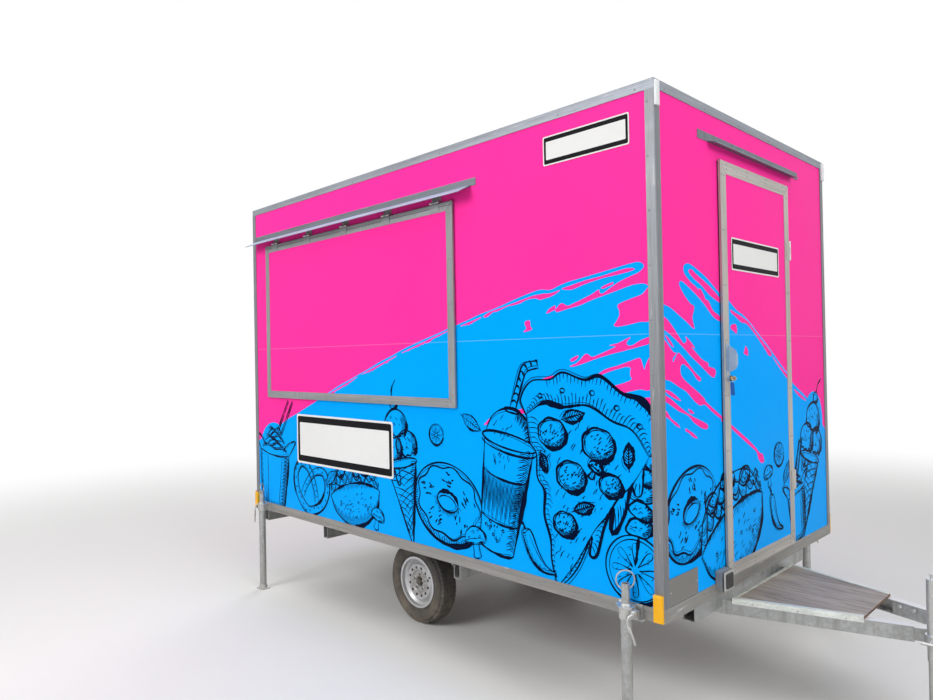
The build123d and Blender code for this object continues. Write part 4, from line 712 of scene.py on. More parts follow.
def film(name, side, triangles, material):
    """Thin film on a side: triangles with their lifts, turned to face outwards and cut to the panels they lie on."""
    edge_one = triangles[:, 1] - triangles[:, 0]
    edge_two = triangles[:, 2] - triangles[:, 0]
    turned = edge_one[:, 0] * edge_two[:, 1] - edge_one[:, 1] * edge_two[:, 0]
    triangles = np.where((turned < 0)[:, None, None], triangles[:, ::-1], triangles)
    triangles = triangles[np.abs(turned) > 1e-9]
    for wall, body, rectangles in SIDES[side]:
        flat = np.concatenate([within(triangles, r) for r in rectangles])
        if len(flat) == 0:
            continue
        corners = np.round(flat.reshape(-1, 3), 6)
        flat_points, index = np.unique(corners, axis=0, return_inverse=True)
        faces = index.reshape(-1, 3)
        sound = (faces[:, 0] != faces[:, 1]) & (faces[:, 1] != faces[:, 2]) & (faces[:, 0] != faces[:, 2])
        piece(f"{name}_{side}_{body}", wall.place(flat_points), faces[sound], body, material, False)


def strip(first, second):
    """Triangles between two lines of equally many points. Lines may come in batches."""
    a, b = first[..., :-1, :], first[..., 1:, :]
    c, d = second[..., 1:, :], second[..., :-1, :]
    return np.concatenate([np.stack([a, b, c], -2), np.stack([a, c, d], -2)], -3).reshape(-1, 3, 2)


def filled(outline):
    """Triangles inside a closed outline."""
    outline = np.asarray(outline, float)
    outline = outline[np.linalg.norm(outline - np.roll(outline, 1, 0), axis=1) > 1e-6]
    index = tessellate_polygon([raised(outline, 0.0).tolist()])
    return outline[np.array(index)]


def spline(points, closed=False, count=10):
    """Smooth line through points: on each span a cubic with the slope at either end half the difference of the two
    neighbours of that end."""
    p = np.asarray(points, float)
    around_ends = [p[-1:], p, p[:2]] if closed else [2 * p[:1] - p[1:2], p, 2 * p[-1:] - p[-2:-1]]
    ring = np.vstack(around_ends)
    t = np.linspace(0, 1, count, endpoint=False)[None, :, None]
    a, b, c, d = ring[:-3, None], ring[1:-2, None], ring[2:-1, None], ring[3:, None]
    line = 0.5 * (2 * b + (c - a) * t + (2 * a - 5 * b + 4 * c - d) * t**2 + (3 * b - a - 3 * c + d) * t**3)
    return np.vstack([line.reshape(-1, 2), p[:1] if closed else p[-1:]])


def oval(x, z, half_x, half_z, start=0, end=360, tilt=0, count=36, waves=0, depth=0.0):
    """Part of an ellipse: cosine and sine of an even run of angles times the half axes, the radius rippled by waves,
    the whole turned by tilt."""
    angle = np.radians(np.linspace(start, end, count))
    ripple = 1 + depth * np.sin(waves * angle)
    turn = math.radians(tilt)
    u = half_x * ripple * np.cos(angle)
    v = half_z * ripple * np.sin(angle)
    return np.stack([x + u * math.cos(turn) - v * math.sin(turn), z + u * math.sin(turn) + v * math.cos(turn)], -1)


def at_shares(line, shares):
    """Points of a line at shares of its length, by straight interpolation."""
    steps = np.concatenate([[0], np.cumsum(np.linalg.norm(np.diff(line, axis=0), axis=1))])
    wanted = np.asarray(shares) * steps[-1]
    return np.stack([np.interp(wanted, steps, line[:, 0]), np.interp(wanted, steps, line[:, 1])], -1)


def part_of(line, start, end):
    """Part of a line between two shares of its length."""
    return at_shares(line, np.linspace(start, end, 24))


def rungs(first, second, count, reach=0.5, start=0.02, end=0.98, lean=0.0):
    """Hatching: from evenly spaced points of one line towards the matching ones of another, over an uneven reach."""
    share = np.linspace(start, end, count)
    a = at_shares(first, share)
    b = at_shares(second, np.clip(share + lean, 0, 1))
    length = reach * (0.55 + 0.45 * np.abs(np.sin(2.3 * np.arange(count) + 5 * count)))
    t = np.linspace(0, 1, 5)[None, :, None] * length[:, None, None]
    bow = np.array((0.0, 0.02)) * np.sin(np.pi * np.linspace(0, 1, 5))[None, :, None]
    return a[:, None] + (b - a)[:, None] * t + bow


def dots(places, radius):
    """Small rings round places, as a batch of closed lines."""
    ring = oval(0, 0, radius, radius * 0.8, count=9)
    return np.asarray(places, float)[:, None] + ring


def ticks(x, z, half_x, half_z, count, length, tilt, seed):
    """Short pen strokes thrown evenly over an ellipse, nearly parallel and slightly bowed."""
    rng = np.random.default_rng(seed)
    angle = rng.uniform(0, 2 * np.pi, count)
    reach = np.sqrt(rng.uniform(0, 1, count))
    middle = np.stack([x + half_x * reach * np.cos(angle), z + half_z * reach * np.sin(angle)], -1)
    turn = np.radians(tilt + rng.normal(0, 9, count))
    along = (length * rng.uniform(0.5, 1.4, count))[:, None] * np.stack([np.cos(turn), np.sin(turn)], -1)
    t = np.linspace(-1, 1, 6)[None, :, None]
    bow = 0.14 * square_to(along)
    return middle[:, None] + t * along[:, None] + (1 - t**2) * bow[:, None]


def ink(strokes, heavy, lift):
    """Triangles of pen lines. The edges stand half a width either side of the line, and the width swells in the
    middle of a stroke and wavers along it. A heavy line gets a thin second pass that strays from it."""
    made = []
    for lines, weight in strokes:
        lines = np.asarray(lines, float)
        lines = lines[None] if lines.ndim == 2 else lines
        across = square_to(unit(np.gradient(lines, axis=1)))
        t = np.linspace(0, 1, lines.shape[1])
        swell = 0.25 + 0.75 * np.sqrt(np.sin(np.pi * np.clip(t, 0.01, 0.99)))
        phase = np.arange(len(lines))[:, None] * 1.7 + lines[:, :1, 0] * 40
        waver = 1 + 0.30 * np.sin(9 * t[None] + phase) + 0.14 * np.sin(31 * t[None] + 2 * phase)
        half = (heavy * weight / 2 * swell[None] * waver)[..., None]
        level = lift + STROKE_STEP * len(made)
        made.append(raised(strip(lines + across * half, lines - across * half), level))
        if 1.0 <= weight < 2.0 and lines.shape[1] > 30:
            stray = (heavy * (0.5 + 1.1 * np.sin(5 * t[None] + 3 * phase)))[..., None]
            thin = 0.16 * heavy
            second = lines + across * stray
            made.append(raised(strip(second + across * thin, second - across * thin), level + STROKE_STEP / 2))
    return np.concatenate(made)


def solid_fan(outline):
    """Triangles from an outline's middle to each of its edges."""
    middle = np.broadcast_to(outline.mean(0), outline[:-1].shape)
    return np.stack([middle, outline[:-1], outline[1:]], 1)


def laid_out(motif, x, z, size, tilt=0.0, mirror=False):
    """A motif moved to its place: its points turned by tilt, times size, plus the place."""
    turn = math.radians(tilt)
    matrix = size * np.array([[math.cos(turn), math.sin(turn)], [-math.sin(turn), math.cos(turn)]])
    if mirror:
        matrix = np.diag(FLIPPED) @ matrix
    outline, strokes = motif
    moved = [(np.asarray(lines, float) @ matrix + (x, z), weight) for lines, weight in strokes]
    return outline @ matrix + (x, z), moved


# Turns a right-hand line of a drawing into its left-hand twin
FLIPPED = (-1, 1)


# Food motifs, each about one unit tall: (outline to fill, pen strokes with their weights)
def leaf():
    """A pointed leaf with a midrib and side veins."""
    one = spline([(-0.5, 0), (-0.22, 0.20), (0.12, 0.20), (0.5, 0.02)])
    two = spline([(-0.5, 0), (-0.20, -0.17), (0.14, -0.18), (0.5, 0.02)])
    rib = spline([(-0.62, -0.02), (0, 0.015), (0.46, 0.02)])
    veins = [(rungs(rib, one, 8, 1.1, 0.24, 0.88, 0.08), 0.6), (rungs(rib, two, 8, 1.1, 0.24, 0.88, 0.08), 0.6)]
    return np.vstack([one, two[::-1]]), [(one, 1.2), (two, 1.2), (rib, 0.9), (part_of(two, 0.3, 0.9), 2.2)] + veins


def mushroom():
    """A cap seen from the side with its gills and a short stalk."""
    cap = spline([(-0.46, 0.02), (-0.40, 0.30), (-0.12, 0.48), (0.16, 0.46), (0.42, 0.26), (0.46, 0.02)])
    under = oval(0, 0.02, 0.46, 0.10)
    stalk = spline([
        (-0.12, -0.04), (-0.13, -0.30), (-0.16, -0.44), (0, -0.50), (0.16, -0.44), (0.13, -0.30), (0.12, -0.04),
    ])
    gills = rungs(oval(0, 0.02, 0.44, 0.09, 180, 360), oval(0, 0.02, 0.13, 0.03, 180, 360), 22, 0.9)
    strokes = [(cap, 1.3), (under, 0.9), (stalk, 1.1), (gills, 0.5), (part_of(cap, 0.6, 0.97), 2.6)]
    spots = ((-0.27, 0.16, 0.035), (-0.06, 0.32, 0.06), (0.15, 0.36, 0.03), (0.20, 0.17, 0.05), (-0.02, 0.12, 0.025))
    strokes += [(oval(x, z, r, r * 0.6, tilt=60 * x), 0.7) for x, z, r in spots]
    return np.vstack([cap, stalk[::-1]]), strokes


def citrus():
    """A round slice: peel, pith and eight rounded segments."""
    strokes = [(oval(0, 0, 0.5, 0.5, count=50), 1.3), (oval(0, 0, 0.44, 0.44, count=50), 0.8)]
    angle = np.radians(np.arange(8) * 45.0)[:, None]
    t = np.linspace(0, 2 * np.pi, 24)[None]
    radius = 0.23 + 0.165 * np.cos(t)
    swing = angle + 0.27 * np.sin(t) * (0.35 + radius)
    strokes += [(np.stack([radius * np.cos(swing), radius * np.sin(swing)], -1), 0.8)]
    strokes += [(oval(0, 0, 0.49, 0.49, 230, 350), 2.6), (ticks(0, 0, 0.36, 0.36, 26, 0.03, 40, 3), 0.5)]
    return oval(0, 0, 0.5, 0.5), strokes


def chilli():
    """A curved pod with a capped stalk and a long light edge."""
    upper = [(-0.40, 0.26), (-0.28, 0.30), (-0.14, 0.20), (0.04, 0.02), (0.28, -0.14), (0.54, -0.16)]
    lower = [(-0.42, 0.16), (-0.28, -0.02), (-0.04, -0.22), (0.26, -0.28), (0.54, -0.16)]
    pod = spline(upper + lower[-2::-1], True)
    stalk = spline([(-0.38, 0.24), (-0.46, 0.32), (-0.60, 0.36)])
    cap = spline([(-0.43, 0.17), (-0.36, 0.20), (-0.34, 0.26), (-0.28, 0.30)])
    light = spline([(-0.26, 0.20), (-0.10, 0.06), (0.10, -0.08), (0.28, -0.17)])
    low = spline(lower)
    shade = [(rungs(low, light, 30, 0.45), 0.5), (part_of(low, 0.2, 0.8), 2.6)]
    return pod, [(pod, 1.3), (stalk, 2.2), (cap, 0.9), (light, 0.6)] + shade


def pizza_slice():
    """A wedge with a blistered crust, shaded toppings, leaves, and melted edges that drip."""
    crust = spline([
        (-0.50, 0.34), (-0.57, 0.44), (-0.50, 0.58), (-0.34, 0.63), (-0.24, 0.70), (-0.06, 0.69), (0.06, 0.74),
        (0.24, 0.67), (0.38, 0.66), (0.52, 0.55), (0.56, 0.42), (0.50, 0.34),
    ])
    lip = spline([(-0.50, 0.34), (-0.36, 0.46), (-0.20, 0.47), (0, 0.53), (0.20, 0.48), (0.36, 0.46), (0.50, 0.34)])
    left = spline([
        (-0.50, 0.34), (-0.43, 0.16), (-0.36, 0.10), (-0.32, -0.06), (-0.24, -0.14), (-0.21, -0.30), (-0.13, -0.44),
        (-0.09, -0.58), (-0.01, -0.74),
    ])
    right = spline([
        (0.50, 0.34), (0.42, 0.14), (0.33, 0.00), (0.28, -0.12), (0.20, -0.26), (0.12, -0.48), (-0.01, -0.74),
    ])
    melt = spline([
        (0.47, 0.26), (0.49, 0.10), (0.45, 0.07), (0.41, 0.12), (0.40, -0.06), (0.36, -0.20), (0.32, -0.20),
        (0.31, -0.06), (0.27, -0.20), (0.25, -0.40), (0.20, -0.42), (0.19, -0.30), (0.13, -0.52), (0.06, -0.66),
        (-0.01, -0.74),
    ])
    strokes = [(crust, 1.5), (lip, 1.0), (left, 1.4), (right, 0.8), (melt, 1.4)]
    strokes += [
        (rungs(lip, crust, 40, 0.45), 0.55), (rungs(crust, lip, 36, 0.3, 0.25, 0.95), 0.55),
        (rungs(melt, right, 46, 0.8), 0.5),
    ]
    strokes += [
        (part_of(lip, 0.08, 0.45), 2.6), (part_of(crust, 0.62, 0.95), 3.0), (part_of(melt, 0.12, 0.5), 2.4),
        (rungs(left, right, 34, 0.16), 0.5),
    ]
    slices = ((-0.25, 0.27, 0.125), (0.13, 0.30, 0.13), (-0.04, 0.03, 0.125), (0.27, 0.07, 0.09), (-0.03, -0.30, 0.10))
    for x, z, r in slices:
        disc = oval(x, z, r, r * 0.84, waves=7, depth=0.03)
        strokes += [
            (disc, 1.2), (oval(x, z, r * 0.97, r * 0.82, 250, 400), 2.6),
            (oval(x, z, r * 0.86, r * 0.72, 60, 230), 0.5),
        ]
        strokes += [(rungs(oval(x, z, r, r * 0.84, 240, 410), oval(x, z, r * 0.2, r * 0.2, 240, 410), 26, 0.55), 0.5)]
        strokes += [(ticks(x, z, r * 0.7, r * 0.55, 16, r * 0.10, 50, int(900 * r + 99 * x)), 0.7)]
    leaves = ((-0.10, 0.43, 0.20, 25), (0.36, 0.30, 0.17, 100), (-0.28, 0.05, 0.15, -60), (0.10, -0.14, 0.18, 30))
    for place in leaves:
        strokes += laid_out(leaf(), *place)[1]
    strokes += laid_out(mushroom(), 0.13, 0.13, 0.13, -20)[1]
    strokes += [
        (ticks(0, 0.12, 0.34, 0.30, 60, 0.022, 70, 5), 0.5), (ticks(0.02, -0.35, 0.12, 0.25, 24, 0.02, 70, 6), 0.5),
    ]
    strokes += [(dots([(-0.40, 0.50), (-0.22, 0.58), (0.02, 0.62), (0.22, 0.57), (0.40, 0.50)], 0.020), 0.9)]
    return np.vstack([crust, melt[1:], left[::-1][1:]]), strokes


def drink_cup():
    """A tapered cup with a domed lid, a bent straw, a sleeve, bubbles and beads of water."""
    left = spline([(-0.27, 0.22), (-0.24, -0.10), (-0.19, -0.66)])
    right = left * FLIPPED
    base = oval(0, -0.66, 0.19, 0.05, 180, 360)
    dome = oval(0, 0.27, 0.26, 0.25, 0, 180)
    straw_one = spline([(-0.03, 0.52), (0.02, 0.76), (0.06, 0.90), (0.20, 0.96)])
    straw_two = spline([(0.03, 0.51), (0.07, 0.74), (0.11, 0.85), (0.22, 0.90)])
    sleeve_top = oval(0, -0.02, 0.245, 0.06, 180, 360)
    sleeve_low = oval(0, -0.40, 0.212, 0.055, 180, 360)
    strokes = [
        (left, 1.3), (right, 1.5), (base, 1.6), (oval(0, 0.25, 0.30, 0.06), 1.2),
        (oval(0, 0.215, 0.30, 0.065, 180, 360), 1.2),
    ]
    strokes += [
        (dome, 1.2), (oval(0, 0.51, 0.09, 0.022), 0.9), (part_of(dome, 0.05, 0.3), 2.6),
        (part_of(right, 0.1, 0.9), 2.6),
    ]
    strokes += [(straw_one, 1.0), (straw_two, 1.0), (rungs(straw_one, straw_two, 8, 1.0, 0.1, 0.95, 0.05), 1.2)]
    strokes += [(sleeve_top, 1.2), (sleeve_low, 1.2), (rungs(sleeve_top, sleeve_low, 34, 1.0, 0.04, 0.96), 0.6)]
    strokes += [
        (rungs(right, left, 54, 0.26, 0.02, 0.98), 0.55),
        (rungs(dome, oval(0, 0.27, 0.10, 0.10, 0, 180), 26, 0.6, 0.02, 0.42), 0.55),
    ]
    strokes += [(dots([(-0.14, -0.50), (-0.05, -0.56), (0.05, -0.50), (-0.10, -0.46), (0.00, -0.60)], 0.014), 0.8)]
    strokes += [(ticks(-0.06, 0.08, 0.13, 0.05, 14, 0.02, 85, 2), 0.5)]
    strokes += [
        (ticks(-0.05, -0.53, 0.12, 0.07, 16, 0.02, 85, 8), 0.5),
        (ticks(-0.08, 0.34, 0.10, 0.10, 12, 0.025, 60, 9), 0.5),
    ]
    return np.vstack([dome, left, base, right[::-1]]), strokes


def ice_cream():
    """A waffle cone with three rippled scoops, a running drip and a cherry."""
    left = spline([(-0.25, -0.02), (-0.13, -0.42), (0, -0.90)])
    right = left * FLIPPED
    strokes = [(left, 1.4), (right, 1.4), (oval(0, -0.02, 0.26, 0.05), 1.1), (part_of(right, 0.05, 0.8), 2.8)]
    strokes += [
        (rungs(left, right, 11, 1.0, 0.02, 0.84, 0.16), 0.7), (rungs(right, left, 11, 1.0, 0.02, 0.84, 0.16), 0.7),
        (rungs(right, left, 40, 0.2), 0.5),
    ]
    for x, z, r in ((-0.13, 0.14, 0.18), (0.13, 0.15, 0.17), (0.0, 0.38, 0.19)):
        strokes += [(oval(x, z, r, r * 0.95, -20, 200, waves=5, depth=0.02), 1.4)]
        strokes += [(oval(x, z - 0.02, r, r * 0.5, 180, 360, waves=13, depth=0.10, count=60), 1.3)]
        strokes += [(oval(x, z, r * k, r * k * 0.95, -60, 40), 0.6) for k in (0.90, 0.80, 0.70, 0.60)]
        strokes += [
            (oval(x, z, r * 0.98, r * 0.9, -50, 10), 2.6),
            (ticks(x - 0.03, z + 0.02, r * 0.6, r * 0.5, 12, 0.02, 130, int(99 * r)), 0.6),
        ]
    drip = [
        (-0.20, 0.02), (-0.19, -0.12), (-0.155, -0.14), (-0.13, -0.08), (-0.10, -0.22), (-0.06, -0.23),
        (-0.05, -0.05),
    ]
    strokes += [(spline(drip), 1.2)]
    strokes += [(oval(0.02, 0.62, 0.065, 0.06), 1.3), (oval(0.03, 0.62, 0.05, 0.045, 250, 380), 2.4)]
    strokes += [(spline([(0.03, 0.67), (0.06, 0.78), (0.14, 0.86)]), 1.2)]
    return np.vstack([oval(0, 0.28, 0.30, 0.40, 0, 180), left, right[::-1]]), strokes


def pretzel():
    """A knotted roll: two lines either side of a path that loops twice and crosses itself, with salt."""
    path = spline([
        (0.26, -0.20), (0.14, 0.06), (-0.10, 0.34), (-0.40, 0.40), (-0.56, 0.14), (-0.44, -0.20), (-0.12, -0.42),
        (0.12, -0.42), (0.44, -0.20), (0.56, 0.14), (0.40, 0.40), (0.10, 0.34), (-0.14, 0.06), (-0.26, -0.20),
    ])
    across = square_to(unit(np.gradient(path, axis=0)))
    thick = 0.085 * (0.65 + 0.35 * np.sin(np.pi * np.linspace(0, 1, len(path))))[:, None]
    outer, inner = path + across * thick, path - across * thick
    strokes = [
        (outer, 1.4), (inner, 1.4), (rungs(outer, inner, 110, 0.3), 0.5), (part_of(inner, 0.2, 0.4), 2.4),
        (part_of(outer, 0.5, 0.75), 2.6),
    ]
    count = np.arange(30)
    grains = at_shares(path, (count + 0.5) / 30) + 0.03 * np.stack([np.sin(7 * count), np.cos(11 * count)], -1)
    strokes += [(dots(grains, 0.015), 0.8)]
    return oval(0, 0, 0.6, 0.46), strokes


def taco():
    """A folded shell with curled leaves, round slices and shreds above its edge."""
    edge = spline([(-0.62, 0.02), (-0.45, 0.10), (-0.15, 0.16), (0.15, 0.16), (0.45, 0.10), (0.62, 0.02)])
    bowl = spline([
        (-0.62, 0.02), (-0.52, -0.22), (-0.28, -0.40), (0, -0.46), (0.28, -0.40), (0.52, -0.22), (0.62, 0.02),
    ])
    back = spline([(-0.60, 0.06), (-0.48, 0.30), (-0.20, 0.44), (0.12, 0.46), (0.42, 0.34), (0.60, 0.06)])
    t = np.linspace(0, 1, 160)
    frills = [
        at_shares(edge, t) + np.stack([0.02 * np.cos(k * t), h + a * np.sin(k * t) + 0.02 * np.sin(23 * t + k)], -1)
        for h, a, k in ((0.07, 0.045, 52), (0.14, 0.04, 41), (0.21, 0.03, 35))
    ]
    strokes = [(edge, 1.4), (bowl, 1.6), (back, 1.2)] + [(f, 1.1) for f in frills]
    strokes += [
        (rungs(bowl, edge, 60, 0.28), 0.55), (rungs(edge, bowl, 44, 0.16), 0.55),
        (rungs(frills[0], frills[1], 70, 0.7), 0.5), (rungs(frills[1], frills[2], 60, 0.6), 0.5),
    ]
    strokes += [(part_of(bowl, 0.45, 0.92), 3.4), (part_of(edge, 0.1, 0.4), 2.2), (part_of(edge, 0.55, 0.9), 2.6)]
    for x, z in ((-0.30, 0.36), (0.02, 0.42), (0.32, 0.33)):
        strokes += [
            (oval(x, z, 0.115, 0.085), 1.3), (oval(x, z, 0.075, 0.055), 0.7), (oval(x, z, 0.11, 0.08, 250, 370), 2.2),
        ]
        strokes += [(dots([(x - 0.03, z), (x + 0.03, z + 0.01), (x, z - 0.025)], 0.010), 0.6)]
    seeds = [(-0.36, -0.10), (-0.14, -0.22), (0.08, -0.12), (0.30, -0.22), (0.40, -0.06), (-0.02, -0.33)]
    strokes += [(dots(seeds, 0.018), 0.8)]
    strokes += [(ticks(0, -0.14, 0.42, 0.16, 40, 0.026, 20, 4), 0.5)]
    return np.vstack([back, bowl[::-1]]), strokes


def doughnut(seed):
    """A ring with a rippled glaze and sprinkles thrown over it."""
    outer = oval(0, 0, 0.50, 0.40, count=60)
    glaze = oval(0, 0.02, 0.44, 0.34, count=90, waves=9, depth=0.05)
    strokes = [(outer, 1.5), (glaze, 1.1), (oval(0, 0.03, 0.15, 0.10), 1.3), (oval(0, 0.00, 0.13, 0.08, 10, 170), 0.9)]
    strokes += [(rungs(oval(0, 0, 0.50, 0.40, 180, 360), oval(0, 0.02, 0.44, 0.34, 180, 360), 54, 1.0), 0.6)]
    strokes += [(oval(0, -0.01, 0.49, 0.385, 235, 350), 3.0), (oval(0, 0.03, 0.145, 0.095, 20, 150), 2.8)]
    strokes += [(rungs(oval(0, 0.03, 0.15, 0.10, 190, 350), outer[30:], 26, 0.16), 0.5)]
    for k in range(5):
        angle = 1.26 * k + seed
        spot = (0.30 * math.cos(angle), 0.03 + 0.23 * math.sin(angle))
        strokes += [(ticks(*spot, 0.10, 0.08, 9, 0.026, 47 * k + seed, seed + k), 1.0)]
    return outer, strokes


def skewer():
    """A stick through six rounded pieces, each shaded on one side."""
    t = np.linspace(0, 1, 12)
    strokes = [(at_shares(np.array([(0.0, -0.98), (0.0, -0.62)]), t), 2.4)]
    strokes += [(at_shares(np.array([(0.0, 0.66), (0.0, 0.86)]), t), 2.2)]
    for i, z in enumerate((-0.52, -0.30, -0.07, 0.15, 0.36, 0.56)):
        wide, tilt = 0.20 - 0.02 * (i % 2), 12 * (-1) ** i
        edge = oval(0, z, wide, 0.12, -80, 70, tilt=tilt)
        shade = oval(0, z, wide * 0.4, 0.05, -80, 70, tilt=tilt)
        strokes += [
            (oval(0, z, wide, 0.12, waves=4, depth=0.08, tilt=tilt, count=48), 1.4),
            (rungs(edge, shade, 22, 0.9), 0.55),
            (part_of(edge, 0.2, 0.8), 2.6),
        ]
        strokes += [(ticks(-0.06, z, 0.09, 0.06, 9, 0.018, 30 * i, i), 0.6)]
    return oval(0, 0.02, 0.21, 0.70), strokes


def noodle_box():
    """A folded carton with two open flaps, heaped noodles and two sticks."""
    left = spline([(-0.42, 0.18), (-0.38, -0.20), (-0.32, -0.62)])
    right = left * FLIPPED
    base = spline([(-0.32, -0.62), (0, -0.66), (0.32, -0.62)])
    rim = spline([(-0.42, 0.18), (-0.16, 0.13), (0.16, 0.13), (0.42, 0.18)])
    folds = [spline([(-0.20, 0.14), (-0.14, -0.64)]), spline([(0.22, 0.14), (0.16, -0.64)])]
    strokes = [
        (left, 1.5), (right, 1.5), (base, 1.8), (rim, 1.3), (folds[0], 0.8), (folds[1], 0.8),
        (part_of(right, 0.05, 0.95), 3.0),
    ]
    flap = spline([(-0.42, 0.18), (-0.58, 0.40), (-0.40, 0.36), (-0.24, 0.22)])
    strokes += [(flap, 1.4), (flap * FLIPPED, 1.4)]
    strokes += [
        (rungs(right, folds[1], 56, 0.85), 0.55), (rungs(left, folds[0], 36, 0.3), 0.55),
        (rungs(base, rim, 30, 0.14), 0.5),
    ]
    t = np.linspace(0, 1, 60)
    for k in range(8):
        high, span = 0.20 + 0.040 * k, 0.37 - 0.026 * k
        wave = np.stack([span * (2 * t - 1), high + 0.05 * np.sin(np.pi * t) + 0.028 * np.sin(9 * t + 1.9 * k)], -1)
        strokes += [(wave, 1.0), (wave + (0.0, 0.022), 0.7)]
    for x in (0.02, 0.14):
        stick = spline([(x, 0.42), (x + 0.16, 0.70), (x + 0.32, 0.98)])
        other = stick + (0.030, -0.012)
        strokes += [(stick, 1.2), (other, 1.2), (rungs(stick, other, 6, 1.0, 0.7, 0.98), 0.8)]
    return np.vstack([oval(0, 0.20, 0.42, 0.42, 0, 180), left, base, right[::-1]]), strokes


def popcorn_box():
    """A striped open carton with a heap of rounded puffs."""
    left = spline([(-0.32, 0.10), (-0.28, -0.25), (-0.22, -0.62)])
    right = left * FLIPPED
    base = spline([(-0.22, -0.62), (0, -0.65), (0.22, -0.62)])
    t = np.linspace(0, 1, 60)
    rim = np.stack([0.32 * (2 * t - 1), 0.08 + 0.03 * np.abs(np.sin(4.5 * np.pi * t))], -1)
    strokes = [(left, 1.4), (right, 1.4), (base, 1.7), (rim, 1.2), (part_of(right, 0.05, 0.95), 2.8)]
    shares = (0.18, 0.34, 0.50, 0.66, 0.82)
    folds = np.stack([at_shares(rim, shares), at_shares(base, shares)], 1)
    strokes += [(at_shares(fold, np.linspace(0, 1, 20)), 0.9) for fold in folds]
    strokes += [(rungs(folds[k], folds[k + 1], 46, 1.0), 0.6) for k in (0, 2)]
    strokes += [(rungs(right, folds[4], 46, 0.9), 0.6)]
    spots = (
        (-0.25, 0.17), (-0.10, 0.20), (0.06, 0.18), (0.22, 0.18), (-0.18, 0.32), (0.00, 0.34), (0.16, 0.32),
        (-0.08, 0.46), (0.08, 0.46), (0.24, 0.56), (-0.26, 0.62),
    )
    for i, (x, z) in enumerate(spots):
        strokes += [(oval(x, z, 0.085, 0.075, 20 * i, 330 + 20 * i, waves=4, depth=0.16, count=48), 1.2)]
        strokes += [(oval(x + 0.01, z - 0.01, 0.035, 0.03, 200, 400), 0.8), (oval(x, z, 0.075, 0.065, 260, 350), 1.8)]
    return np.vstack([oval(0, 0.16, 0.33, 0.36, 0, 180), left, base, right[::-1]]), strokes


# Motifs of each side in layers from the wall outwards: (motif, along, up, size, tilt)
LINE_WIDTH = 0.0094
LAYOUTS = {
    "right": [
        [
            (doughnut(3), -0.22, 0.90, 0.56, -14), (noodle_box(), -2.12, 0.94, 0.50, -4),
            (taco(), -1.10, 0.84, 0.44, 10), (citrus(), 0.97, 0.78, 0.30, 0), (skewer(), 1.02, 1.14, 0.34, -8),
        ],
        [
            (ice_cream(), -0.62, 1.10, 0.56, 12), (drink_cup(), 0.22, 1.13, 0.62, -10),
            (pretzel(), -1.62, 0.82, 0.36, -10),
        ],
        [(pizza_slice(), 0.66, 1.12, 0.70, -12)],
        [
            (chilli(), 0.42, 0.76, 0.26, -20), (leaf(), -0.02, 1.36, 0.16, -30), (mushroom(), 0.00, 0.73, 0.17, 10),
            (citrus(), -0.30, 1.28, 0.12, 0), (mushroom(), -0.86, 0.72, 0.14, -14), (leaf(), -1.36, 0.92, 0.16, 40),
        ],
    ],
    "front": [
        [(doughnut(5), -0.74, 1.00, 0.50, 22), (ice_cream(), 0.70, 1.10, 0.56, -16)],
        [(taco(), -0.34, 0.88, 0.54, 18), (noodle_box(), 0.46, 0.86, 0.34, 8)],
        [
            (chilli(), 0.14, 0.86, 0.24, -30), (citrus(), 0.20, 1.16, 0.13, 0), (mushroom(), 0.06, 1.06, 0.12, 12),
            (leaf(), 0.30, 1.05, 0.14, 60),
        ],
    ],
    "left": [
        [(doughnut(7), -0.62, 0.92, 0.56, 10), (taco(), 1.96, 0.88, 0.46, -6), (popcorn_box(), 0.34, 1.02, 0.58, -8)],
        [(noodle_box(), -0.06, 1.14, 0.66, -6), (pretzel(), 1.40, 0.86, 0.44, 14), (drink_cup(), 0.84, 1.04, 0.56, 8)],
        [
            (pizza_slice(), -0.78, 1.36, 0.46, 30), (skewer(), 1.72, 1.02, 0.34, 50), (citrus(), 0.56, 0.76, 0.18, 0),
            (mushroom(), 1.14, 0.76, 0.16, 0),
        ],
    ],
    "rear": [
        [(taco(), -0.50, 0.86, 0.46, 0), (skewer(), 0.76, 0.98, 0.40, 20)],
        [(popcorn_box(), 0.02, 0.96, 0.44, -10), (doughnut(9), 0.42, 0.86, 0.38, 0)],
        [(chilli(), -0.20, 1.20, 0.18, 30), (leaf(), -0.74, 1.12, 0.16, 20), (citrus(), 0.26, 1.18, 0.10, 0)],
    ],
}


# The two-colour ground: blue rising towards the near corner, with brush ends and gaps
HILL_FOOT = 1.08
HILL_RISE = 1.02
HILL_RUN = 3.44
HILL_BEND = 1.46
REAR_RISE = 0.26
HILL_END = -0.06
SIDE_EDGE_END = (1.075, 1.990)
REAR_EDGE_END = 0.96


def hill_side(x):
    """Upper edge on the long sides: one minus a falling power of the way along, times the rise."""
    share = np.clip((x - BODY_REAR) / HILL_RUN, 0, 1)
    return HILL_FOOT + HILL_RISE * (1 - (1 - share) ** HILL_BEND)


def hill_rear(across):
    """Upper edge on the rear: a low rise between the two sides, the square of a cosine."""
    return HILL_FOOT + REAR_RISE * np.cos(across * math.pi / 2) ** 2


def brushed(share, seed, amount):
    """Brushed edge: a sum of sines of the way along, with phases drawn from a seed."""
    rng = np.random.default_rng(seed)
    waves = np.array((11.0, 23.0, 41.0, 67.0))
    phases = rng.uniform(0, 2 * np.pi, 4)
    return amount * (np.sin(share[:, None] * waves + phases) / np.array((1.0, 1.4, 1.9, 2.6))).sum(1)


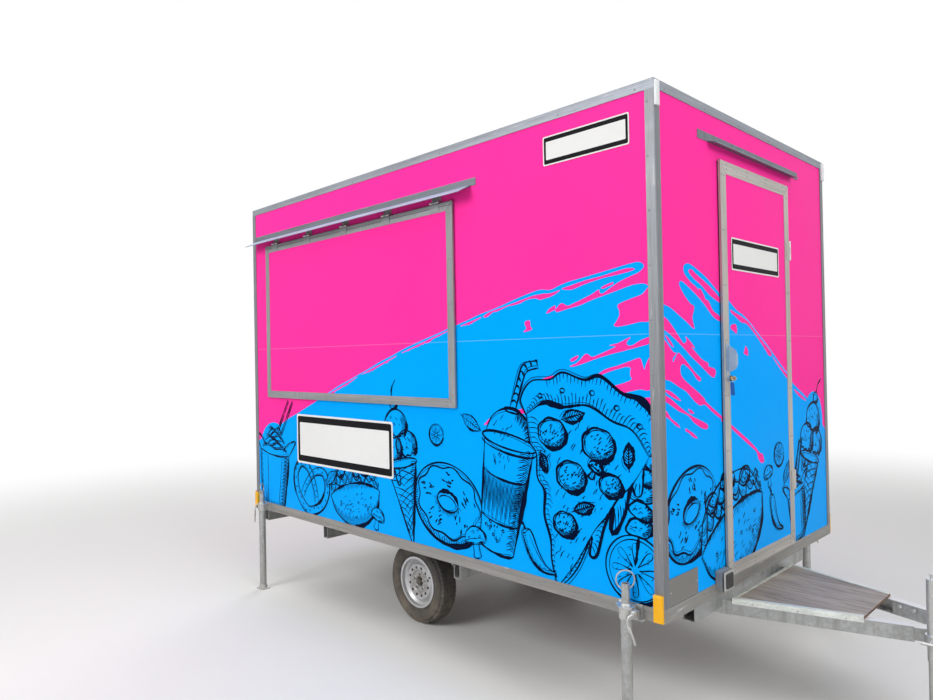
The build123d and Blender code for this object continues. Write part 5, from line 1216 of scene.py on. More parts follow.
def sliver(low, high, edge, drop, thick, seed):
    """Gap that follows just under an edge: pointed at both ends, its lower side brushed."""
    along = np.linspace(low, high, 120)
    share = (along - low) / (high - low)
    body = np.sin(np.pi * np.clip(share, 0, 1)) ** 0.6
    top = edge(along) - drop
    low_side = top - thick * body * (0.75 + np.abs(brushed(share, seed, 0.4)))
    return strip(np.stack([along, low_side], -1), np.stack([along, top], -1))


def below(edge):
    """Blue film from the floor rail up to an edge drawn from left to right."""
    low = RAIL_TOP - 0.01
    return filled(np.vstack([edge, [(edge[-1, 0], low)], [(edge[0, 0], low)]]))


SIDE_BRUSH = [
    (-0.015, 1.918), (0.071, 1.942), (0.155, 1.96), (0.314, 2.002), (0.434, 2.03), (0.477, 2.035), (0.534, 2.03),
    (0.589, 2.046), (0.643, 2.059), (0.735, 2.072), (0.86, 2.091), (0.978, 2.109), (1.023, 2.109), (1.042, 2.089),
    (1.016, 2.066), (0.965, 2.05), (0.918, 2.034), (0.876, 2.013), (0.833, 1.99), (0.815, 1.994), (0.809, 2.008),
    (0.771, 1.99), (0.707, 1.968), (0.667, 1.955), (0.634, 1.947), (0.601, 1.961), (0.58, 1.95), (0.562, 1.935),
    (0.559, 1.953), (0.521, 1.936), (0.506, 1.917), (0.531, 1.923), (0.558, 1.931), (0.572, 1.921), (0.634, 1.932),
    (0.706, 1.945), (0.77, 1.964), (0.845, 1.982), (0.917, 1.999), (0.975, 2.013), (1.021, 2.017), (1.049, 2.013),
    (1.057, 2.007),
]
FRONT_BRUSH = [
    (-0.979, 1.913), (-0.958, 1.924), (-0.923, 1.92), (-0.883, 1.909), (-0.816, 1.881), (-0.752, 1.854),
    (-0.685, 1.823), (-0.69, 1.851), (-0.698, 1.876), (-0.683, 1.906), (-0.682, 1.927), (-0.716, 1.938),
    (-0.769, 1.973), (-0.802, 2.004), (-0.813, 2.023), (-0.79, 2.034), (-0.743, 2.017), (-0.668, 1.984),
    (-0.589, 1.943), (-0.496, 1.884), (-0.424, 1.864), (-0.43, 1.887), (-0.494, 1.912), (-0.541, 1.956),
    (-0.576, 1.965), (-0.65, 2.011), (-0.711, 2.036), (-0.765, 2.07), (-0.769, 2.101), (-0.739, 2.115),
    (-0.706, 2.114), (-0.629, 2.091), (-0.548, 2.06), (-0.428, 1.998), (-0.34, 1.953), (-0.275, 1.921),
    (-0.201, 1.898), (-0.125, 1.863), (-0.026, 1.808), (0.077, 1.752), (0.169, 1.696), (0.264, 1.639), (0.379, 1.575),
    (0.482, 1.522), (0.674, 1.436), (0.795, 1.353), (0.905, 1.271), (0.993, 1.204),
]
SIDE_GAPS = [
    [
        (0.086, 1.928), (0.138, 1.948), (0.235, 1.968), (0.374, 1.999), (0.433, 2.01), (0.491, 2.014), (0.533, 2.013),
        (0.592, 2.024), (0.561, 2.006), (0.526, 1.995), (0.49, 1.989), (0.469, 1.986), (0.44, 1.995), (0.389, 1.993),
        (0.344, 1.979), (0.298, 1.971), (0.259, 1.968), (0.187, 1.947), (0.154, 1.944), (0.121, 1.925), (0.096, 1.92),
    ],
    [
        (0.602, 2.029), (0.65, 2.039), (0.735, 2.056), (0.829, 2.068), (0.919, 2.084), (0.966, 2.089), (0.997, 2.083),
        (0.977, 2.075), (0.919, 2.067), (0.829, 2.057), (0.734, 2.039), (0.669, 2.022), (0.636, 2.021),
    ],
    [(0.823, 2.015), (0.841, 2.024), (0.882, 2.035), (0.888, 2.028), (0.864, 2.019), (0.834, 2.01)],
    [
        (0.91, 1.934), (0.974, 1.955), (1.031, 1.971), (1.062, 1.995), (1.069, 1.928), (1.064, 1.858), (1.017, 1.853),
        (0.971, 1.845), (0.907, 1.837), (0.887, 1.844), (0.902, 1.864), (0.915, 1.888), (0.915, 1.908),
    ],
    [
        (0.64, 1.664), (0.68, 1.678), (0.7, 1.693), (0.726, 1.717), (0.742, 1.719), (0.764, 1.706), (0.789, 1.711),
        (0.851, 1.733), (0.893, 1.75), (0.861, 1.756), (0.906, 1.765), (0.953, 1.784), (0.97, 1.788), (0.949, 1.766),
        (0.958, 1.753), (0.981, 1.755), (1.015, 1.772), (1.065, 1.787), (1.065, 1.761), (1.014, 1.747), (0.94, 1.731),
        (0.851, 1.713), (0.757, 1.688), (0.7, 1.671), (0.66, 1.662),
    ],
    [(0.644, 1.694), (0.661, 1.704), (0.691, 1.713), (0.684, 1.699), (0.661, 1.686), (0.648, 1.686)],
    [
        (0.775, 1.622), (0.793, 1.626), (0.837, 1.649), (0.903, 1.666), (0.968, 1.686), (1.013, 1.698),
        (1.024, 1.676), (1.034, 1.649), (1.046, 1.678), (1.063, 1.693), (1.063, 1.569), (1.01, 1.563), (0.953, 1.551),
        (0.918, 1.543), (0.846, 1.539), (0.754, 1.531), (0.798, 1.558), (0.847, 1.569), (0.919, 1.586),
        (0.969, 1.604), (0.965, 1.621), (0.964, 1.639), (0.967, 1.656), (0.944, 1.66), (0.903, 1.651), (0.849, 1.636),
        (0.8, 1.62),
    ],
    [
        (0.371, 1.884), (0.401, 1.889), (0.405, 1.86), (0.416, 1.848), (0.394, 1.838), (0.359, 1.834), (0.379, 1.851),
        (0.371, 1.867),
    ],
    [(0.461, 1.596), (0.488, 1.607), (0.544, 1.619), (0.563, 1.614), (0.523, 1.602), (0.48, 1.583), (0.465, 1.585)],
    [
        (0.863, 1.489), (0.941, 1.505), (0.993, 1.515), (1.066, 1.524), (1.066, 1.41), (1.042, 1.419), (1.013, 1.435),
        (0.992, 1.46), (0.933, 1.478),
    ],
    [
        (0.075, 1.357), (0.106, 1.385), (0.139, 1.402), (0.244, 1.43), (0.404, 1.467), (0.529, 1.497), (0.516, 1.483),
        (0.403, 1.443), (0.284, 1.414), (0.181, 1.378), (0.117, 1.367),
    ],
    [(1.002, 1.265), (1.063, 1.275), (1.07, 1.107), (1.031, 1.146), (1.01, 1.214)],
]
FRONT_GAPS = [
    [
        (-0.726, 2.081), (-0.698, 2.092), (-0.653, 2.073), (-0.538, 2.03), (-0.419, 1.972), (-0.418, 1.95),
        (-0.528, 1.985), (-0.609, 2.026), (-0.677, 2.051),
    ],
    [(-0.633, 2.008), (-0.612, 2.005), (-0.585, 1.981), (-0.574, 1.964), (-0.6, 1.973), (-0.624, 1.991)],
    [
        (-0.342, 1.92), (-0.289, 1.907), (-0.222, 1.89), (-0.151, 1.868), (-0.07, 1.822), (0.032, 1.764),
        (0.125, 1.714), (0.13, 1.692), (0.096, 1.694), (0.045, 1.731), (-0.042, 1.788), (-0.127, 1.837),
        (-0.18, 1.858), (-0.224, 1.861), (-0.29, 1.888), (-0.337, 1.906),
    ],
    [(0.149, 1.687), (0.231, 1.641), (0.382, 1.562), (0.381, 1.54), (0.294, 1.59), (0.183, 1.659)],
    [
        (-0.98, 1.894), (-0.958, 1.877), (-0.921, 1.861), (-0.871, 1.827), (-0.82, 1.785), (-0.782, 1.758),
        (-0.756, 1.772), (-0.764, 1.79), (-0.712, 1.761), (-0.679, 1.736), (-0.711, 1.742), (-0.669, 1.715),
        (-0.613, 1.684), (-0.557, 1.667), (-0.555, 1.651), (-0.505, 1.642), (-0.481, 1.627), (-0.497, 1.599),
        (-0.531, 1.605), (-0.58, 1.63), (-0.637, 1.66), (-0.715, 1.699), (-0.779, 1.736), (-0.842, 1.769),
        (-0.913, 1.804), (-0.982, 1.833),
    ],
    [
        (-0.983, 1.8), (-0.962, 1.783), (-0.925, 1.758), (-0.875, 1.721), (-0.848, 1.716), (-0.879, 1.695),
        (-0.875, 1.678), (-0.836, 1.716), (-0.807, 1.707), (-0.76, 1.678), (-0.684, 1.627), (-0.632, 1.599),
        (-0.643, 1.585), (-0.674, 1.6), (-0.718, 1.634), (-0.782, 1.665), (-0.809, 1.662), (-0.818, 1.642),
        (-0.806, 1.614), (-0.764, 1.587), (-0.688, 1.551), (-0.609, 1.51), (-0.586, 1.489), (-0.528, 1.459),
        (-0.412, 1.4), (-0.413, 1.39), (-0.517, 1.434), (-0.596, 1.476), (-0.645, 1.476), (-0.701, 1.502),
        (-0.764, 1.543), (-0.829, 1.567), (-0.901, 1.596), (-0.99, 1.629),
    ],
    [(-0.939, 1.793), (-0.912, 1.781), (-0.872, 1.745), (-0.89, 1.747), (-0.924, 1.773)],
    [
        (-0.989, 1.55), (-0.959, 1.541), (-0.904, 1.52), (-0.833, 1.483), (-0.759, 1.448), (-0.693, 1.423),
        (-0.614, 1.398), (-0.571, 1.378), (-0.586, 1.363), (-0.638, 1.374), (-0.706, 1.404), (-0.759, 1.439),
        (-0.834, 1.462), (-0.906, 1.493), (-0.985, 1.528),
    ],
    [(-0.955, 1.56), (-0.913, 1.555), (-0.85, 1.527), (-0.819, 1.506), (-0.884, 1.525), (-0.934, 1.546)],
    [(-0.753, 1.467), (-0.725, 1.459), (-0.7, 1.445), (-0.726, 1.444), (-0.748, 1.456)],
    [
        (-0.991, 1.487), (-0.959, 1.476), (-0.935, 1.465), (-0.906, 1.437), (-0.855, 1.412), (-0.83, 1.39),
        (-0.87, 1.405), (-0.92, 1.434), (-0.987, 1.463),
    ],
    [
        (-0.78, 1.383), (-0.755, 1.373), (-0.717, 1.357), (-0.673, 1.33), (-0.711, 1.337), (-0.752, 1.36),
        (-0.781, 1.371),
    ],
    [
        (-0.424, 1.396), (-0.335, 1.352), (-0.264, 1.318), (-0.183, 1.278), (-0.1, 1.232), (-0.045, 1.196),
        (-0.008, 1.184), (0.008, 1.148), (-0.022, 1.14), (-0.057, 1.162), (-0.085, 1.205), (-0.164, 1.246),
        (-0.271, 1.3), (-0.349, 1.34), (-0.429, 1.383),
    ],
    [(-0.343, 1.845), (-0.295, 1.852), (-0.277, 1.83), (-0.286, 1.805), (-0.314, 1.816), (-0.346, 1.829)],
    [(-0.199, 1.722), (-0.183, 1.744), (-0.158, 1.722), (-0.16, 1.696), (-0.19, 1.702), (-0.207, 1.709)],
    [(0.477, 1.498), (0.57, 1.465), (0.658, 1.423), (0.591, 1.437), (0.508, 1.473)],
]
# How far the films stand off the panel, each a little further than what lies under it
GROUND_LIFT = 0.00025
GAP_LIFT = 0.00045
MOTIF_LIFT = 0.0008
LEVEL_STEP = 0.0005
INK_STEP = 0.00012
STROKE_STEP = 4e-6
PIECE_STEP = 1e-5
SIGN_LIFT = 0.0026
# The left side is drawn as the right one and turned over
MIRRORED = (-1, 1, 1)
SLIVER_RUNS = ((-1.42, -1.02), (-0.98, -0.62), (-0.58, -0.12), (-0.09, 0.07))

side_run = np.linspace(BODY_REAR, HILL_END, 160)
side_hill = np.stack([side_run, hill_side(side_run) + brushed((side_run + 2.4) / 2.4, seed=4, amount=0.0022)], -1)
side_edge = np.vstack([side_hill, spline(SIDE_BRUSH, count=6), [SIDE_EDGE_END]])
front_edge = spline(FRONT_BRUSH, count=6)
rear_run = np.linspace(-REAR_EDGE_END, REAR_EDGE_END, 120)
rear_edge = np.stack([rear_run, hill_rear(rear_run) + brushed(rear_run, seed=6, amount=0.004)], -1)
side_ground = raised(below(side_edge), GROUND_LIFT)
film("blue_ground", "right", side_ground, blue_film)
film("blue_ground", "left", side_ground * MIRRORED, blue_film)
film("blue_ground", "front", raised(below(front_edge), GROUND_LIFT), blue_film)
film("blue_ground", "rear", raised(below(rear_edge), GROUND_LIFT), blue_film)


def stacked(flats, lift):
    """Films side by side in one mesh, each a hair further off the panel than the one before."""
    return np.concatenate([raised(flat, lift + PIECE_STEP * i) for i, flat in enumerate(flats)])


slivers = [sliver(low, high, hill_side, drop=0.013, thick=0.011, seed=i) for i, (low, high) in enumerate(SLIVER_RUNS)]
side_gaps = stacked([filled(spline(gap, True, 5)[:-1]) for gap in SIDE_GAPS] + slivers, GAP_LIFT)
front_gaps = stacked([filled(spline(gap, True, 5)[:-1]) for gap in FRONT_GAPS], GAP_LIFT)
film("pink_gaps", "right", side_gaps, pink_film)
film("pink_gaps", "left", side_gaps * MIRRORED, pink_film)
film("pink_gaps", "front", front_gaps, pink_film)

for side_name, layers in LAYOUTS.items():
    for level, motifs in enumerate(layers):
        fills, lines = [], []
        lift = MOTIF_LIFT + LEVEL_STEP * level
        for i, (motif, x, z, size, tilt) in enumerate(motifs):
            outline, strokes = laid_out(motif, x, z, size, tilt, mirror=side_name == "left")
            fills.append(filled(outline))
            lines.append(ink(strokes, LINE_WIDTH * min(1.0, 0.42 + size), lift + PIECE_STEP * i + INK_STEP))
        film(f"motif_ground_{level}", side_name, stacked(fills, lift), blue_film)
        film(f"motif_lines_{level}", side_name, np.concatenate(lines), navy_ink)


def rounded_box(low, high, bottom, top, radius):
    """Outline of a rectangle with quarter circles for corners."""
    left, right, foot, head = low + radius, high - radius, bottom + radius, top - radius
    corners = ((right, head, 0), (left, head, 90), (left, foot, 180), (right, foot, 270))
    line = np.concatenate([oval(x, z, radius, radius, start, start + 90, count=8) for x, z, start in corners])
    return np.vstack([line, line[:1]])


def blank_sign(name, side, box, border):
    """A blank label: white film with a black frame line set in from its edge, wider above and below."""
    low, high, bottom, top = box

    def inset(amount, more=0.0):
        radius = max(border * 0.6 - amount * 0.3, 0.001)
        return rounded_box(low + amount, high - amount, bottom + amount + more, top - amount - more, radius)

    film(f"{name}_sheet", side, raised(solid_fan(inset(0.0)), SIGN_LIFT), white_film)
    frame_band = strip(inset(border * 0.45), inset(border * 1.3, border * 0.6))
    film(f"{name}_frame", side, raised(frame_band, SIGN_LIFT + INK_STEP), black_film)


blank_sign("sign_low", "right", (-1.786, -0.690, 0.985, 1.330), 0.030)
blank_sign("sign_high", "right", (0.507, 0.985, 2.625, 2.765), 0.014)
blank_sign("sign_door", "front", (-0.325, 0.250, 2.115, 2.275), 0.016)
blank_sign("sign_left", "left", (0.10, 1.20, 2.05, 2.40), 0.030)


# Fasteners
DOME = [(1.0, 0.0), (1.0, 0.25), (0.86, 0.66), (0.55, 0.92), (0.22, 1.0), (0.0, 0.99)]
BOLT_HEAD = [(1.0, 0.0), (1.0, 0.85), (0.9, 1.0), (0.0, 1.0)]


def heads(name, places, outward, radius, height, sides=10, body="trailer", material=plated, profile=DOME):
    """Many like heads in one mesh: a profile of (share of radius, share of height) carried round each place."""
    places = np.asarray(places, float).reshape(-1, 3)
    outward = np.broadcast_to(np.asarray(outward, float), places.shape)
    helper = np.where(np.abs(outward[:, 2:]) > 0.9, np.array((1.0, 0.0, 0.0)), np.array((0.0, 0.0, 1.0)))
    first = unit(np.cross(helper, outward))
    second = np.cross(outward, first)
    profile = np.asarray(profile, float)
    angle = full_turn(sides)
    ring = radius * profile[:, :1, None] * np.stack([np.cos(angle), np.sin(angle)], -1)[None]
    rise = height * profile[:, 1]
    points = (
        places[:, None, None]
        + ring[None, ..., :1] * first[:, None, None]
        + ring[None, ..., 1:] * second[:, None, None]
        + rise[None, :, None, None] * outward[:, None, None]
    )
    faces = grid_faces(len(profile), sides, wrap_columns=True)[:, ::-1]
    offsets = np.arange(len(places))[:, None, None] * len(profile) * sides
    return piece(name, points, (faces[None] + offsets).reshape(-1, 4), body, material, sides > 6)


def run_of(start, end, pitch, inset=0.0):
    """Evenly spaced places from start to end, no further apart than the pitch."""
    start, end = np.array(start, float), np.array(end, float)
    length = np.linalg.norm(end - start)
    along = (end - start) / length
    count = max(2, int(math.ceil((length - 2 * inset) / pitch)) + 1)
    return start + along * np.linspace(inset, length - inset, count)[:, None]


# Radius and height of each kind of head
RIVET = (0.0042, 0.0019)
LEAF_RIVET = (0.0036, 0.0016)
PLATE_RIVET = (0.0034, 0.0016)
LID_SCREW = (0.0026, 0.0012)
DECK_HEAD = (0.0045, 0.0025)
BEAM_WASHER = (0.0115, 0.0022)
BEAM_BOLT = (0.0082, 0.0085)
BOLT_SEAT = (0.0125, 0.004)
WHEEL_BOLT = (0.0095, 0.016)
VALVE_STEM = (0.0058, 0.034)
LOCK_COLLAR = (0.0145, 0.0035)
LOCK_BARREL = (0.0080, 0.0045)

# Where the rivets' rows run on the posts and on the edge rails
POST_ROWS = (RAIL_TOP + 0.06, ROOF_RAIL_LOW - 0.05, 0.25)
RAIL_ROWS = ((RAIL_TOP - 0.018, 0.30), (ROOF_RAIL_LOW + 0.014, 0.42))
POST_MIDDLE = 0.034
RAIL_END = 0.09
# Direction each side faces, and the posts at its two ends
CORNERS = {
    "right": ((0, -1, 0), (BODY_REAR, -BODY_SIDE), (BODY_FRONT, -BODY_SIDE)),
    "left": ((0, 1, 0), (BODY_REAR, BODY_SIDE), (BODY_FRONT, BODY_SIDE)),
    "front": ((1, 0, 0), (BODY_FRONT, -BODY_SIDE), (BODY_FRONT, BODY_SIDE)),
    "rear": ((-1, 0, 0), (BODY_REAR, -BODY_SIDE), (BODY_REAR, BODY_SIDE)),
}
for side, (outward, start, end) in CORNERS.items():
    foot, head, pitch = POST_ROWS
    inward = POST_MIDDLE * unit(np.subtract(end, start))
    rows = [run_of((*post, foot), (*post, head), pitch) for post in (start + inward, end - inward)]
    rows += [run_of((*start, z), (*end, z), pitch, RAIL_END) for z, pitch in RAIL_ROWS]
    heads(f"rivets_{side}", np.concatenate(rows), outward, *RIVET, material=post_metal)


def frame_rivets(box, pitch):
    """Rows along the four sides of a leaf's frame, two to a side."""
    low, high, bottom, top = box
    short = 0.07
    rows = []
    for inset in (0.014, 0.036):
        rows += [run_of((x, bottom + short), (x, top - short), pitch) for x in (low + inset, high - inset)]
        rows += [run_of((low + short, z), (high - short, z), pitch) for z in (bottom + inset, top - inset)]
    return raised(np.concatenate(rows), 0.0)


for leaf_name, wall, box, pitch in (("hatch", HATCH_FRAME, HATCH_LEAF, 0.26), ("door", DOOR_FRAME, DOOR_LEAF, 0.30)):
    places = wall.place(frame_rivets(box, pitch))
    heads(f"rivets_{leaf_name}", places, wall.outward, *LEAF_RIVET, body=leaf_name, material=post_metal)


# Wheels
def turned_surface(profile, count, push):
    """A profile of (radius, along the axle) carried round the axle. Push takes the angles and the profile's place
    and gives how far each point sinks towards the axle."""
    angle = full_turn(count)
    radius = np.broadcast_to(profile[:, 0], (count, len(profile))).copy()
    radius -= push(angle[:, None], profile[None, :, 1])
    x = AXLE[0] + radius * np.cos(angle)[:, None]
    z = AXLE[1] + radius * np.sin(angle)[:, None]
    y = np.broadcast_to(profile[:, 1], radius.shape)
    return np.stack([x, y, z], -1)


# Tyre: radii and half widths of its section, then its tread
TYRE_R = 0.2608
TYRE_HALF = 0.0772
BEAD_R = 0.1655
BEAD_HALF = 0.050
SHOULDER_R = 0.2480
SHOULDER_ROUND = (0.0085, 0.0098)
WIDEST_SHARE = 0.62
MOULDED_RINGS = ((0.176, 0.0012), (0.236, 0.0014))
RING_HIGH = 0.0012
CROWN = 0.0028
GROOVES = (-0.036, -0.012, 0.012, 0.036)
GROOVE_HALF = 0.0034
GROOVE_DEEP = 0.007
SLOT_DEEP = 0.0055
SIPE_DEEP = 0.0030
TREAD_HALF = 0.066
PITCHES = 60
TYRE_STEPS = 480


def tyre_profile():
    """Cross-section from one bead over the tread to the other: a bulging wall from a half sine, moulded rings, a
    rounded shoulder and a crowned tread with extra points at the groove edges."""
    wall_r = np.linspace(BEAD_R, SHOULDER_R, 30)
    share = (wall_r - BEAD_R) / (SHOULDER_R - BEAD_R)
    bulge = BEAD_HALF + (TYRE_HALF - BEAD_HALF) * np.sin(np.pi * np.clip(share * 0.5 / WIDEST_SHARE, 0, 1) ** 0.9)
    bulge -= SHOULDER_ROUND[0] * np.clip((share - WIDEST_SHARE) / (1 - WIDEST_SHARE), 0, 1) ** 2
    rings = RING_HIGH * sum(np.exp(-(((wall_r - middle) / width) ** 2)) for middle, width in MOULDED_RINGS)
    wall = np.minimum(bulge + rings, TYRE_HALF)
    angle = np.radians(np.linspace(12, 78, 6))
    edge_y = wall[-1] - SHOULDER_ROUND[0] + SHOULDER_ROUND[0] * np.cos(angle)
    edge_r = SHOULDER_R + SHOULDER_ROUND[1] * np.sin(angle)
    half = edge_y[-1] - 0.0015
    lips = GROOVE_HALF + np.array((0.0006, -0.0004))
    groove_edges = np.add.outer(GROOVES, np.concatenate([-lips, lips])).ravel()
    tread_y = np.sort(np.concatenate([np.linspace(-half, half, 25), groove_edges]))[::-1]
    tread_r = TYRE_R - CROWN * (tread_y / half) ** 2
    one = np.stack([wall_r, wall], -1)
    two = np.stack([edge_r, edge_y], -1)
    tread = np.stack([tread_r, tread_y], -1)
    return np.vstack([one, two, tread, (two * (1, -1))[::-1], (one * (1, -1))[::-1]])


def tread_depth(angle, along):
    """How far the tread sinks: in the round grooves, and in slots that run out over the shoulders."""
    deep = np.zeros(np.broadcast(angle, along).shape)
    for groove in GROOVES:
        deep = np.maximum(deep, GROOVE_DEEP * (np.abs(along - groove) < GROOVE_HALF))
    out = np.abs(along)
    slant = PITCHES * angle + 70 * out
    slot = (np.cos(slant) > 0.80) & (out > 0.040) & (out < TREAD_HALF)
    sipe = (np.cos(slant + 2.0) > 0.90) & (out < 0.033) & (np.abs(out - GROOVES[2]) > GROOVE_HALF)
    return np.maximum(np.maximum(deep, SLOT_DEEP * slot), SIPE_DEEP * sipe)


BOLT_CIRCLE = 0.049
BOLT_FACE = WHEEL_MIDDLE + 0.030
VALVE = [(1.0, 0.0), (1.0, 0.18), (0.62, 0.26), (0.60, 0.62), (0.74, 0.64), (0.74, 0.96), (0.6, 1.0), (0.0, 1.0)]
for side, sign in (("left", 1), ("right", -1)):
    body = f"wheel_{side}"
    profile = tyre_profile()
    points = turned_surface(profile, TYRE_STEPS, tread_depth)
    points[..., 1] = sign * (WHEEL_MIDDLE + points[..., 1])
    faces = grid_faces(TYRE_STEPS, len(profile), wrap_rows=True)
    tyre = piece(f"dressed_tyre_{side}", points, faces if sign < 0 else faces[:, ::-1], body, tyre_rubber)
    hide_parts(f"tyre_{side}")
    angle = np.radians(np.arange(5) * 72 + 90)
    bolt_x, bolt_z = AXLE[0] + BOLT_CIRCLE * np.cos(angle), AXLE[1] + BOLT_CIRCLE * np.sin(angle)
    bolts = np.stack([bolt_x, np.full(5, sign * BOLT_FACE), bolt_z], -1)
    heads(f"wheel_bolt_seats_{side}", bolts, (0, sign, 0), *BOLT_SEAT, sides=16, body=body)
    heads(f"wheel_bolts_{side}", bolts, (0, sign, 0), *WHEEL_BOLT, sides=6, body=body, profile=BOLT_HEAD)
    foot = (AXLE[0] + 0.118, sign * (WHEEL_MIDDLE + 0.020), AXLE[1] + 0.050)
    leaning = (-0.25, sign * 0.95, -0.1)
    heads(f"valve_{side}", [foot], leaning, *VALVE_STEM, sides=12, body=body, material=black_rubber, profile=VALVE)


# Small fittings
def plate(name, wall, box, body, material, lift, thick, radius):
    """Thin plate with rounded corners and a softened edge: its outline carried from the back to the front face."""
    line = rounded_box(*box, radius)[:-1]
    middle = line.mean(0)
    steps = ((1.0, 0.0), (1.0, 0.75), (0.985, 1.0), (0.0, 1.0))
    rows = [wall.place(raised(middle + (line - middle) * share, lift + thick * rise)) for share, rise in steps]
    faces = grid_faces(len(steps), len(line), wrap_columns=True)
    return piece(name, np.stack(rows), faces[:, ::-1], body, material, False)


def closed_cord(name, path, helper, body, material, radius, sides=10):
    """A round profile carried along a closed path: cosine and sine of even angles times the radius, in the plane
    square to the path, set out from the helper direction."""
    ahead = unit(np.roll(path, -1, 0) - np.roll(path, 1, 0))
    first = unit(np.cross(ahead, np.asarray(helper, float)))
    second = np.cross(first, ahead)
    angle = full_turn(sides)[None, :, None]
    points = path[:, None] + radius * (np.cos(angle) * first[:, None] + np.sin(angle) * second[:, None])
    return piece(name, points, grid_faces(len(path), sides, wrap_rows=True, wrap_columns=True), body, material)


# Rubber seals in the gaps behind the leaves' edges; their black also paints the shade that lies in these gaps
SEAL_R = 0.0034
SEAL_INSET = 0.0075
SEAL_LIFT = 0.0035
for leaf_name, wall, box in (("hatch", RIGHT, HATCH_LEAF), ("door", FRONT, DOOR_LEAF)):
    low, high, bottom, top = box
    line = rounded_box(low + SEAL_INSET, high - SEAL_INSET, bottom + SEAL_INSET, top - SEAL_INSET, 0.004)[:-1]
    path = wall.place(raised(line, SEAL_LIFT))
    closed_cord(f"{leaf_name}_seal", path, wall.outward, "trailer", black_rubber, SEAL_R)

# Painted shade: a thin black strip on the hatch's frame where the gap between the hinge profile and the frame lies in
# shade
low, high, bottom, top = HATCH_LEAF
seam = (low + 0.004, high - 0.004, top - 0.0225, top - 0.0195)
plate("hatch_gap_shade_strip", HATCH_FRAME, seam, "hatch", black_rubber, lift=0.0, thick=0.0003, radius=0.001)

# Plates of the front wall and of the inlet
plate_box = (-0.954, -0.704, 0.642, 0.758)
plate("blank_plate", FRONT, plate_box, "trailer", plate_grey, lift=0.0022, thick=0.0018, radius=0.004)
heads("plate_rivets", [(SKIN_FRONT + 0.004, y, 0.700) for y in (-0.944, -0.714)], (1, 0, 0), *PLATE_RIVET)
INLET = Wall((0, 1, 0), (1, 0, 0), 1.1475)
frame_box, lid_box = (-0.536, -0.438, 0.609, 0.699), (-0.522, -0.452, 0.620, 0.688)
plate("inlet_frame", INLET, frame_box, "trailer", pale_plastic, lift=0.0001, thick=0.003, radius=0.008)
plate("inlet_lid", INLET, lid_box, "trailer", dark_plastic, lift=0.0030, thick=0.005, radius=0.010)
inlet_corners = [(INLET.skin + 0.003, y, z) for y in (-0.529, -0.445) for z in (0.615, 0.693)]
heads("inlet_screws", inlet_corners, (1, 0, 0), *LID_SCREW)

# Drawbar: heads along the seam of the deck's angles, and bolts with washers through the beams by the coupling
BEAM_SLOPE = 0.3134
ANGLE_SEAM = (1.1084, 0.3731, 0.514)
BEAM_INSIDE = (1.7987, 0.1062, 0.4965)
WASHER = [(1.0, 0.0), (1.0, 0.9), (0.9, 1.0), (0.4, 1.0)]


def on_beam(start, sign, run):
    """Places on one of the drawbar's beams: the slope times the way forward from the start, towards the middle."""
    x_start, y_start, z = start
    return [(x, sign * (y_start - (x - x_start) * BEAM_SLOPE), z) for x in run]


for sign in (-1, 1):
    square = np.array((BEAM_SLOPE, sign, 0.0)) / math.hypot(BEAM_SLOPE, 1.0)
    heads(f"deck_angle_heads_{sign}", on_beam(ANGLE_SEAM, sign, (1.195, 1.380, 1.567)), square, *DECK_HEAD)
    inner = on_beam(BEAM_INSIDE, sign, (1.752, 1.690))
    heads(f"beam_washers_{sign}", inner, -square, *BEAM_WASHER, sides=20, profile=WASHER)
    heads(f"beam_bolts_{sign}", inner, -square, *BEAM_BOLT, sides=6, profile=BOLT_HEAD)

# Latch: screws on its flange, ring and plug of the lock, and the key with its tag
LOCK = np.array((1.1337, -0.388, 1.590))
LOCK_RING = [(1.0, 0.0), (1.0, 0.5), (0.9, 1.0), (0.6, 0.9), (0.58, 0.2)]
LOCK_PLUG = [(1.0, 0.0), (1.0, 0.8), (0.9, 1.0), (0.0, 1.0)]
latch_places = [(1.1236, -0.401, z) for z in (1.640, 1.685, 1.730)]
heads("latch_screws", latch_places, (1, 0, 0), *LEAF_RIVET, sides=12, body="door", material=bright_sheet)
heads("lock_ring", [LOCK], (1, 0, 0), *LOCK_COLLAR, 28, "door", dark_plastic, profile=LOCK_RING)
heads("lock_plug", [LOCK], (1, 0, 0), *LOCK_BARREL, 20, "door", brass, profile=LOCK_PLUG)


def standing(name, outline, place, along, outward, body, material, thick):
    """Thin plate that hangs in space: its outline set out along two directions and carried through its thickness
    between two softened faces."""
    along, outward = np.asarray(along, float), np.asarray(outward, float)
    face = np.cross(along, outward)
    middle = outline.mean(0)
    rows = []
    for share, rise in ((0.0, -0.5), (0.94, -0.5), (1.0, -0.3), (1.0, 0.3), (0.94, 0.5), (0.0, 0.5)):
        flat = middle + (outline - middle) * share
        rows.append(place + flat[:, :1] * along + flat[:, 1:] * outward + rise * thick * face)
    faces = grid_faces(len(rows), len(outline), wrap_columns=True)
    return piece(name, np.stack(rows), faces[:, ::-1], body, material, False)


KEY_BOW = [
    (0.004, -0.003), (0.012, -0.010), (0.022, -0.009), (0.027, 0.0), (0.022, 0.009), (0.012, 0.010), (0.004, 0.003),
]
standing("key_bow", spline(KEY_BOW, True)[:-1], LOCK, (1, 0, 0), (0, 0, 1), "door", brass, thick=0.0024)
KEY_RING_R = 0.010
ring_angle = full_turn(40)[:, None]
ring_middle = LOCK + (0.011, 0.0, -0.011)
ring_path = ring_middle + KEY_RING_R * (np.cos(ring_angle) * (0, 1, 0) + np.sin(ring_angle) * (0.25, 0, 1))
closed_cord("key_ring", ring_path, (1, 0, 0), "door", bright_steel, radius=0.0009, sides=6)
tag = rounded_box(-0.015, 0.003, -0.070, -0.0075, 0.006)[:-1]
standing("key_tag", tag, ring_middle, (0.92, 0.38, 0.0), (-0.06, 0.0, 1.0), "door", tag_blue, thick=0.0030)


